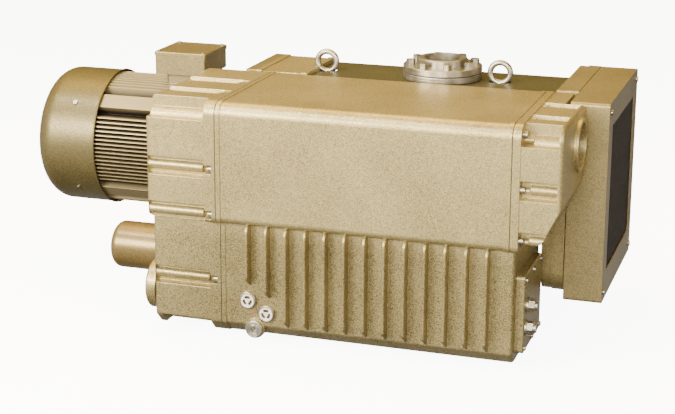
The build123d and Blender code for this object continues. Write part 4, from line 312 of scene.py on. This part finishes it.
def revolve(mesh, profile, centre, axis, steps):
    """Spins a closed outline of (along, out) points about an axis through centre."""
    axis = Vector(axis)
    across = Vector((0, 0, 1)) if abs(axis.z) < 0.5 else Vector((1, 0, 0))
    rim = [mesh.verts.new(centre + axis * along + across * out) for along, out in profile]
    edges = [mesh.edges.new((rim[n - 1], rim[n])) for n in range(len(rim))]
    bmesh.ops.spin(
        mesh,
        geom=rim + edges,
        cent=centre,
        axis=axis,
        angle=2 * pi,
        steps=steps,
        use_merge=True,
    )


def piece(name, mesh, material, body, slot, smooth_angle=None):
    """Makes an object of a finished mesh and gives it its finish and its body; slot is not used."""
    bmesh.ops.remove_doubles(mesh, verts=mesh.verts, dist=1e-6)
    bmesh.ops.recalc_face_normals(mesh, faces=mesh.faces)
    for face in mesh.faces:
        face.smooth = smooth_angle is not None
    if smooth_angle is not None:
        for edge in mesh.edges:
            edge.smooth = len(edge.link_faces) == 2 and edge.calc_face_angle(0) < smooth_angle
    data = bpy.data.meshes.new(name)
    mesh.to_mesh(data)
    mesh.free()
    made = bpy.data.objects.new(name, data)
    bpy.context.scene.collection.objects.link(made)
    data.materials.append(material)
    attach(made, body)
    return made


mesh = bmesh.new()
bead = [
    (bead_radius * cos(pi * n / 6), cowl_radius + bead_radius * sin(pi * n / 6)) for n in range(12)
]
revolve(mesh, bead, Vector((cowl_high.x, cowl_middle.y, cowl_middle.z)), (1, 0, 0), 96)
piece("cowl_rolled_edge", mesh, cowl_paint, "pump", "cowl_paint", radians(60))

# Oil filter: a drawn steel can that screws onto the left cover, with a crimped seam ring at its
# open end. Its paint is browner, from heat and oil.
can_paint = metallic_paint(
    "oil_filter_paint",
    (0.070, 0.047, 0.014),
    (0.270, 0.190, 0.066),
    0.0030,
    700.0,
    0.0001,
    metal=0.6,
    smooth=0.30,
)
dress(can_paint, "oil_filter_canister")

# Air hood: a folded steel duct that leads the cooling air over the pump stage, in the darker
# olive that the shaded sheet metal has.
hood_paint = metallic_paint(
    "olive_hood_paint",
    (0.026, 0.024, 0.011),
    (0.110, 0.100, 0.048),
    0.0015,
    800.0,
    0.0001,
    metal=0.5,
    smooth=0.40,
)
dress(hood_paint, "air_hood")

# Cooler housing and fan shroud: folded and spot welded sheet steel, sprayed like the castings
# but on a flat skin.
sheet_paint = metallic_paint(
    "champagne_sheet_paint",
    (0.085, 0.066, 0.024),
    (0.430, 0.340, 0.150),
    0.0018,
    800.0,
    0.0001,
    metal=0.6,
    smooth=0.34,
)
dress(sheet_paint, "cooler_housing", "fan_shroud")

# Radiator: oil tubes across a pack of thin upright aluminium fins, lacquered nearly black. The
# fins stand a few millimetres apart in the housing's window, slightly uneven from handling.
core_low, core_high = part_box("radiator_core")
fin_lacquer, shader, place = finish("dark_fin_lacquer", Coat_Roughness=0.3)
film = noise(place, 60.0)
speck = noise(place, 900.0)
rounded, edge = worn_edges(place, 0.0006)
feed(
    shader,
    Base_Color=ramp(
        film * 0.5 + speck * 0.3 + edge * 0.3,
        (0.15, (0.006, 0.004, 0.003)),
        (0.8, (0.045, 0.033, 0.020)),
    ),
    Roughness=0.42 + 0.25 * film,
    Metallic=0.15 + 0.1 * film,
    Normal=bumped(speck, 0.0002, rounded, 0.5),
)
dress(fin_lacquer, "radiator_core")

# Bright steel: zinc plated screws, bolts, plugs, lifting eyes and the turned inlet flange. Fine
# turning marks run round the flange and the plating has pale yellow bloom in places.
bright_steel, shader, place = finish("bright_zinc_steel")
centre = (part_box("inlet_flange")[0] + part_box("inlet_flange")[1]) / 2
turned = place.node(
    "ShaderNodeMapping", inputs={"Vector": place, "Location": (-centre.x, -centre.y, 0)}
)
rings = place.node(
    "ShaderNodeTexWave",
    {"wave_type": "RINGS", "rings_direction": "Z", "wave_profile": "SIN"},
    {"Vector": turned, "Scale": 260.0, "Distortion": 1.5, "Detail": 2.0},
    output=1,
)
bloom = noise(place, 38.0)
rub = noise(place, 900.0)
rounded, edge = worn_edges(place, 0.0008)
feed(
    shader,
    Base_Color=ramp(
        bloom * 0.6 + rub * 0.2 + edge * 0.2, (0.2, (0.24, 0.21, 0.15)), (0.8, (0.66, 0.62, 0.52))
    ),
    Metallic=0.95 - 0.1 * bloom,
    Roughness=0.22 + 0.14 * bloom + 0.08 * rub,
    Normal=bumped(rings * 0.6 + rub * 0.4, 0.00012, rounded, 0.6),
)
dress(
    bright_steel,
    "inlet_flange",
    "inlet_bolts",
    "lifting_eyes",
    "cover_screws",
    "pan_head_screws",
    "sump_plate_screws",
    "sump_plate_plugs",
    "sight_glass_bezels",
    "oil_drain_plug",
    "end_cover_bolts",
    "motor_flange_bolts",
)

# Counter flange under the inlet's: its rim is turned bright on the casting below the gasket, and
# a shallow groove runs round it.
gasket_low, gasket_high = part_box("inlet_gasket")
rim_radius = (gasket_high.x - gasket_low.x) / 2
rim_depth = 0.0165
rim_skin = 0.0012
rim_gap = 0.0002  # below the gasket
rim_mesh = bmesh.new()
rim_profile = [
    (0, rim_radius - rim_skin),
    (0, rim_radius + rim_skin * 0.4),
    (-rim_skin, rim_radius + rim_skin),
    (-rim_depth * 0.45, rim_radius + rim_skin),
    (-rim_depth * 0.50, rim_radius + rim_skin * 0.3),
    (-rim_depth * 0.55, rim_radius + rim_skin),
    (-rim_depth + rim_skin, rim_radius + rim_skin),
    (-rim_depth, rim_radius + rim_skin * 0.4),
    (-rim_depth, rim_radius - rim_skin),
]
rim_top = Vector((centre.x, centre.y, gasket_low.z - rim_gap))
revolve(rim_mesh, rim_profile, rim_top, (0, 0, 1), 96)
piece("counter_flange_rim", rim_mesh, bright_steel, "pump", "bright_steel", radians(30))

# Running gear: rotor, motor shaft, valve parts and bearings. All are ground steel, with the
# grinder's lay along the shaft and a film of oil over it.
ground_steel, shader, place = finish("oiled_ground_steel", Coat_Roughness=0.12)
grain = place.node("ShaderNodeMapping", inputs={"Vector": place, "Scale": (14.0, 1.0, 1.0)})
lay = noise(grain, 160.0, 4.0)
oil = noise(place, 22.0)
feed(
    shader,
    Base_Color=ramp(oil * 0.6 + lay * 0.3, (0.2, (0.20, 0.17, 0.12)), (0.75, (0.47, 0.46, 0.44))),
    Metallic=0.96 - 0.06 * oil,
    Roughness=0.24 + 0.16 * lay,
    Coat_Weight=0.5 * oil,
    Normal=bumped(lay, 0.00006),
)
dress(
    ground_steel,
    "pump_rotor",
    "motor_rotor",
    "check_valve_plate",
    "check_valve_guide",
    "check_valve_spring",
    "discharge_valve_seat",
    "discharge_valves",
    "float_bracket",
    "inlet_screen",
    "pump_bearings",
    "motor_bearings",
)

# Gaskets: black fibre sheet between the machined faces, cut to the same outline and pinched
# by the covers' screws.
gasket_sheet, shader, place = finish("black_gasket_sheet")
fibre = noise(place, 500.0, 4.0)
feed(
    shader,
    Base_Color=ramp(fibre, (0.3, (0.006, 0.006, 0.005)), (0.75, (0.030, 0.028, 0.024))),
    Roughness=0.72 + 0.15 * fibre,
    Normal=bumped(fibre, 0.0002),
)
dress(gasket_sheet, "left_cover_gasket", "exhaust_cover_gasket", "cylinder_gasket", "inlet_gasket")

# Rubber feet and the spider in the coupling: moulded black rubber with a dusty bloom. The feet
# screw up into the legs, and the spider sits between the two hubs' claws.
moulded_rubber, shader, place = finish("moulded_rubber")
dusting = noise(place, 45.0)
pores = noise(place, 800.0)
feed(
    shader,
    Base_Color=ramp(
        dusting * 0.7 + pores * 0.3, (0.25, (0.012, 0.012, 0.011)), (0.8, (0.050, 0.047, 0.042))
    ),
    Roughness=0.68 + 0.2 * dusting,
    Normal=bumped(pores, 0.00015),
)
dress(moulded_rubber, "rubber_feet", "coupling_spider")

# Fans: moulded black nylon, satin, with dust on the blades. One cools the motor under its cowl
# and the other draws air through the radiator.
fan_nylon, shader, place = finish("fan_nylon")
film = noise(place, 30.0)
feed(
    shader,
    Base_Color=ramp(film, (0.3, (0.010, 0.010, 0.010)), (0.8, (0.060, 0.056, 0.048))),
    Roughness=0.42 + 0.25 * film,
    Normal=bumped(noise(place, 500.0), 0.0001),
)
dress(fan_nylon, "cooling_fan", "motor_fan")

# Vanes: brown fibre composite slats, with the laminations showing along their length. They lie
# loose in the rotor's slots.
vane_board, shader, place = finish("vane_fibre_board", Coat_Roughness=0.2)
stretched = place.node("ShaderNodeMapping", inputs={"Vector": place, "Scale": (1.0, 30.0, 30.0)})
fibre = noise(stretched, 40.0, 5.0)
feed(
    shader,
    Base_Color=ramp(fibre, (0.3, (0.050, 0.030, 0.015)), (0.7, (0.170, 0.110, 0.060))),
    Roughness=0.40 + 0.2 * fibre,
    Coat_Weight=0.3 * fibre,
    Normal=bumped(fibre, 0.0001),
)
dress(vane_board, "vane_1", "vane_2", "vane_3")

# Exhaust filters: glass fibre fleece wound round a tube and stained by oil mist. They push into
# the separator's upper chamber.
fleece, shader, place = finish("filter_fleece")
weave = noise(place, 380.0, 6.0, 0.7)
stain = noise(place, 9.0)
feed(
    shader,
    Base_Color=ramp(
        stain * 0.6 + weave * 0.4, (0.25, (0.34, 0.26, 0.14)), (0.75, (0.72, 0.68, 0.58))
    ),
    Roughness=0.85 + 0.1 * weave,
    Normal=bumped(weave, 0.0006),
)
dress(fleece, "exhaust_filters")

# Float: a thin brass ball soldered to an arm that swings on a pin in the float chamber, dulled
# by hot oil.
oily_brass, shader, place = finish("oily_brass", Coat_Roughness=0.1)
tarnish = noise(place, 55.0)
feed(
    shader,
    Base_Color=ramp(tarnish, (0.3, (0.26, 0.16, 0.05)), (0.75, (0.62, 0.46, 0.17))),
    Metallic=0.97 - 0.1 * tarnish,
    Roughness=0.24 + 0.2 * tarnish,
    Coat_Weight=0.4 * tarnish,
    Normal=bumped(tarnish, 0.0001),
)
dress(oily_brass, "float_arm")

# Stator: stacked steel laminations with winding heads either side, dipped in brown varnish and
# pressed into the motor's frame.
varnished, shader, place = finish("varnished_stator")
stack = place.node(
    "ShaderNodeTexWave",
    {"bands_direction": "X"},
    {"Vector": place, "Scale": 320.0, "Distortion": 0.4},
    output=1,
)
varnish = noise(place, 70.0)
feed(
    shader,
    Base_Color=ramp(
        varnish * 0.6 + stack * 0.3, (0.2, (0.09, 0.035, 0.012)), (0.8, (0.36, 0.16, 0.06))
    ),
    Roughness=0.30 + 0.2 * varnish,
    Normal=bumped(stack, 0.0003),
)
dress(varnished, "motor_stator")

# Sight glasses: a thick prismatic glass in each bright bezel. Behind it lies a pale reflector
# with three kidney shaped windows, which go dark where the oil stands.
glass, shader, place = finish("sight_glass", IOR=1.5, Coat_IOR=1.5, Coat_Roughness=0.03)
haze = noise(place, 120.0)
feed(
    shader,
    Base_Color=ramp(haze, (0.3, (0.62, 0.58, 0.44)), (0.7, (0.80, 0.78, 0.68))),
    Roughness=0.10 + 0.12 * haze,
    Coat_Weight=0.9 - 0.2 * haze,
    Normal=bumped(haze, 0.00005),
)
dress(glass, "sight_glass_lenses")
shade, shader, place = finish("oil_in_the_glass", Coat_Weight=1.0, Coat_Roughness=0.04)
depth = noise(place, 150.0)
feed(
    shader,
    Base_Color=ramp(depth, (0.3, (0.030, 0.022, 0.010)), (0.7, (0.095, 0.070, 0.032))),
    Roughness=0.12 + 0.1 * depth,
)
bezel_radius = 0.023
bezel_low, bezel_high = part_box("sight_glass_bezels")
lens_low, lens_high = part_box("sight_glass_lenses")
upper_glass = Vector((bezel_low.x + bezel_radius, lens_low.y, bezel_high.z - bezel_radius))
lower_glass = Vector((bezel_high.x - bezel_radius, lens_low.y, bezel_low.z + bezel_radius))
lens_radius = upper_glass.x - lens_low.x
window_height = 0.0006
face_front = Matrix.Rotation(radians(90), 3, "X")


def kidney(mesh, centre, turn, middle, half_width, half_angle, height):
    """A raised kidney shaped window that faces the front: a bar swept in an arc, with round ends."""
    top_width = half_width * 0.86
    corners = [(-half_width, 0), (-top_width, -height), (top_width, -height), (half_width, 0)]
    start = turn - half_angle
    out = Vector((cos(start), 0, sin(start)))
    bar = [
        mesh.verts.new(centre + out * (middle + across) + Vector((0, deep, 0)))
        for across, deep in corners
    ]
    rims = [mesh.edges.new((bar[n], bar[n + 1])) for n in range(3)]
    bmesh.ops.spin(
        mesh, geom=bar + rims, cent=centre, axis=(0, -1, 0), angle=2 * half_angle, steps=12
    )
    for end in (turn - half_angle, turn + half_angle):
        tip = centre + Vector((cos(end), 0, sin(end))) * middle
        disc = bmesh.ops.create_cone(
            mesh, cap_ends=True, segments=16, radius1=half_width, radius2=top_width, depth=height
        )["verts"]
        bmesh.ops.rotate(mesh, verts=disc, cent=(0, 0, 0), matrix=face_front)
        bmesh.ops.translate(mesh, verts=disc, vec=tip - Vector((0, height / 2, 0)))


windows = bmesh.new()
window_ring = lens_radius * 0.52
window_half = lens_radius * 0.20
window_sweep = radians(26)
for glass_centre in (upper_glass, lower_glass):
    for turn in (90, 210, 330):
        kidney(
            windows,
            glass_centre,
            radians(turn),
            window_ring,
            window_half,
            window_sweep,
            window_height,
        )
piece("sight_glass_windows", windows, shade, "pump", "sight_glass", radians(30))

# Level marks: a plain red dash of enamel beside each sight glass, dabbed on over the paint to
# show how high the oil should stand.
mark_enamel, shader, place = finish("red_mark_enamel", Coat_Weight=0.6, Coat_Roughness=0.15)
brushed = noise(place, 400.0)
feed(
    shader,
    Base_Color=ramp(brushed, (0.3, (0.30, 0.030, 0.020)), (0.7, (0.48, 0.060, 0.040))),
    Roughness=0.35 + 0.2 * brushed,
    Normal=bumped(brushed, 0.0001),
)
mark_length = 0.012
mark_width = 0.0022
mark_height = 0.0006
glass_thread = 0.014  # from the sump panel's face in to the end of a sight glass
panel_face = bezel_high.y - glass_thread
mark_reach = bezel_radius + mark_length
marks = bmesh.new()
for glass_centre in (upper_glass, lower_glass):
    dash = bmesh.ops.create_cube(marks, size=1.0)["verts"]
    bmesh.ops.scale(marks, verts=dash, vec=(mark_length, 2 * mark_height, mark_width))
    spot = Vector((glass_centre.x - mark_reach, panel_face, glass_centre.z))
    bmesh.ops.translate(marks, verts=dash, vec=spot)
bmesh.ops.bevel(
    marks,
    geom=marks.edges[:],
    offset=mark_height * 0.6,
    segments=2,
    profile=0.5,
    affect="EDGES",
    material=-1,
)
piece("level_marks", marks, mark_enamel, "pump", "casting_paint", radians(40))

# Drain plug: a steel plug in the sump's lowest corner. Turned rings run round its face and stand
# a little proud of it.
plug_low, plug_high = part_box("oil_drain_plug")
plug_centre = Vector(((plug_low.x + plug_high.x) / 2, plug_low.y, (plug_low.z + plug_high.z) / 2))
plug_radius = (plug_high.x - plug_low.x) / 2
turned_rings = bmesh.new()
for share, width in ((0.78, 0.0010), (0.60, 0.0008), (0.46, 0.0010)):
    ring = [
        (width * (cos(pi * n / 4) * 0.6), plug_radius * share + width * sin(pi * n / 4))
        for n in range(8)
    ]
    revolve(turned_rings, ring, plug_centre, (0, 1, 0), 48)
piece("drain_plug_rings", turned_rings, bright_steel, "pump", "bright_steel", radians(50))

# Radiator fins: thin folded strip between the oil tubes, far finer than the core's own grooves.
# They fill the housing's window and carry the same dark lacquer.
window_rim = 0.0155
fin_pitch = 0.0042
fin_sheet = 0.0005
window_below = 0.078  # the window's lower edge above the housing's underside
window_above = 0.069
fin_gap = 0.001  # between the outer fins and the window's sides
fin_setback = 0.0015
fin_depth = 0.012
dent_depth = 0.00045  # how far handling has bent the fins
housing_low, housing_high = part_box("cooler_housing")
fin_face = core_high.x - fin_setback
span_low = core_low.y + window_rim + fin_gap
span_high = core_high.y - window_rim - fin_gap
fin_low = housing_low.z + window_below
fin_high = housing_high.z - window_above
count = int((span_high - span_low) / fin_pitch)
fins = bmesh.new()
for n in range(count + 1):
    fin = bmesh.ops.create_grid(fins, x_segments=1, y_segments=6, size=0.5)["verts"]
    bmesh.ops.rotate(fins, verts=fin, cent=(0, 0, 0), matrix=face_front)
    bmesh.ops.scale(fins, verts=fin, vec=(fin_depth, 1, fin_high - fin_low))
    for vert in fin:
        if vert.co.x > 0:
            vert.co.y += sin(vert.co.z * 31.0 + n * 1.7) * dent_depth
    spot = Vector((fin_face - fin_depth / 2, span_low + n * fin_pitch, (fin_low + fin_high) / 2))
    bmesh.ops.translate(fins, verts=fin, vec=spot)
bmesh.ops.solidify(fins, geom=fins.faces[:], thickness=fin_sheet)
piece("radiator_fins", fins, fin_lacquer, "pump", "radiator")

# Studio: a pale floor that glows a little, soft boxes front left and front, a narrow one that
# runs along the rounded top edges, a warm one overhead and a weak fill from the right.
width = cad_high.x - cad_low.x
floor_paper, shader, place = finish("pale_floor_paper")
speck = noise(place, 3.0)
feed(
    shader,
    Base_Color=ramp(speck, (0.0, (0.86, 0.86, 0.85)), (1.0, (0.90, 0.90, 0.89))),
    Roughness=0.75 + 0.1 * speck,
)
paper_white = (1.0, 0.995, 0.98, 1)
paper_glow = 9.0
shader.inputs["Emission Color"].default_value = paper_white
shader.inputs["Emission Strength"].default_value = paper_glow
floor_mesh = bmesh.new()
bmesh.ops.create_grid(floor_mesh, x_segments=8, y_segments=8, size=12 * width)
floor_data = bpy.data.meshes.new("floor")
floor_mesh.to_mesh(floor_data)
floor_mesh.free()
floor = bpy.data.objects.new("floor", floor_data)
floor.location.z = -0.0005
floor_data.materials.append(floor_paper)
bpy.context.scene.collection.objects.link(floor)
floor.visible_diffuse = False
floor.visible_glossy = False


def softbox(name, place, target, size, power, colour):
    """A square area light at place, aimed at target."""
    light = bpy.data.lights.new(name, "AREA")
    light.shape = "RECTANGLE"
    light.size, light.size_y = size
    light.energy = power
    light.color = colour
    holder = bpy.data.objects.new(name, light)
    holder.location = place
    holder.rotation_euler = (Vector(target) - Vector(place)).to_track_quat("-Z", "Y").to_euler()
    bpy.context.scene.collection.objects.link(holder)


middle = (cad_low + cad_high) / 2
softbox("key", (-2.2, -3.6, 1.9), middle, (2.0, 1.4), 430.0, (1.0, 0.92, 0.78))
softbox("front", (1.0, -4.6, 1.8), middle, (2.0, 1.4), 300.0, (1.0, 0.92, 0.78))
softbox("edge", (-1.3, -1.6, 3.2), middle, (2.8, 0.35), 130.0, (1.0, 0.97, 0.92))
softbox("overhead", (-0.2, 0.7, 2.9), middle, (3.6, 1.4), 120.0, (1.0, 0.68, 0.16))
softbox("fill", (3.4, -1.6, 1.4), middle, (1.4, 1.8), 60.0, (1.0, 0.90, 0.72))
world = bpy.data.worlds.new("studio")
world.use_nodes = True
sky = Wire(world.node_tree).node("ShaderNodeTexCoord", output="Generated")
light_side = (-0.50, -0.42, 0.76)
towards_light = sky.node(
    "ShaderNodeVectorMath", {"operation": "DOT_PRODUCT"}, {0: sky, 1: light_side}, output="Value"
)
glow = fade(towards_light, -0.35, 0.85, 0.95, 0.02)
background = world.node_tree.nodes["Background"]
rearward = sky.node("ShaderNodeSeparateXYZ", inputs={0: sky}, output=1)
upward = sky.node("ShaderNodeSeparateXYZ", inputs={0: sky}, output=2)
warmth = fade(rearward + upward * 0.9, -0.1, 0.5) * fade(upward, -0.05, 0.25)
tint = ramp(warmth, (0.0, (1.0, 0.98, 0.95)), (1.0, (1.0, 0.68, 0.16)))
rear_fill = fade(upward, 0.10, -0.35, 0.45) * fade(rearward, 0.0, 0.5)
strength = glow + rear_fill + fade(rearward, -0.45, -0.95, 0.35)
world.node_tree.links.new(tint.socket, background.inputs["Color"])
world.node_tree.links.new(strength.socket, background.inputs["Strength"])
backdrop = sky.node("ShaderNodeBackground", inputs={"Color": paper_white, "Strength": paper_glow})
seen = sky.node("ShaderNodeLightPath", output="Is Camera Ray")
lit = Wire(world.node_tree, background.outputs[0])
mixed = sky.node("ShaderNodeMixShader", inputs={0: seen, 1: lit, 2: backdrop})
world.node_tree.links.new(mixed.socket, world.node_tree.nodes["World Output"].inputs["Surface"])
bpy.context.scene.world = world

# Camera: stands a little right of the machine's middle and above it, and looks down on its
# front.
lens_pixels = 1615.0
frame_width = 675
camera_data = bpy.data.cameras.new("camera")
camera_data.sensor_width = 36.0
camera_data.lens = lens_pixels / frame_width * camera_data.sensor_width
camera_data.shift_y = -0.08
camera = bpy.data.objects.new("camera", camera_data)
stand = Vector((1.428, -4.14, 1.553))
turn, tilt, roll = radians(18.05), radians(14.3), radians(0.29)
looking = Vector((-sin(turn) * cos(tilt), cos(turn) * cos(tilt), -sin(tilt)))
right = looking.cross(Vector((0, 0, 1))).normalized()
up = right.cross(looking)
right, up = right * cos(roll) + up * sin(roll), up * cos(roll) - right * sin(roll)
camera.matrix_world = Matrix(
    (
        (right.x, up.x, -looking.x, stand.x),
        (right.y, up.y, -looking.y, stand.y),
        (right.z, up.z, -looking.z, stand.z),
        (0, 0, 0, 1),
    )
)
camera_data.clip_end = 200.0
bpy.context.scene.collection.objects.link(camera)
bpy.context.scene.camera = camera
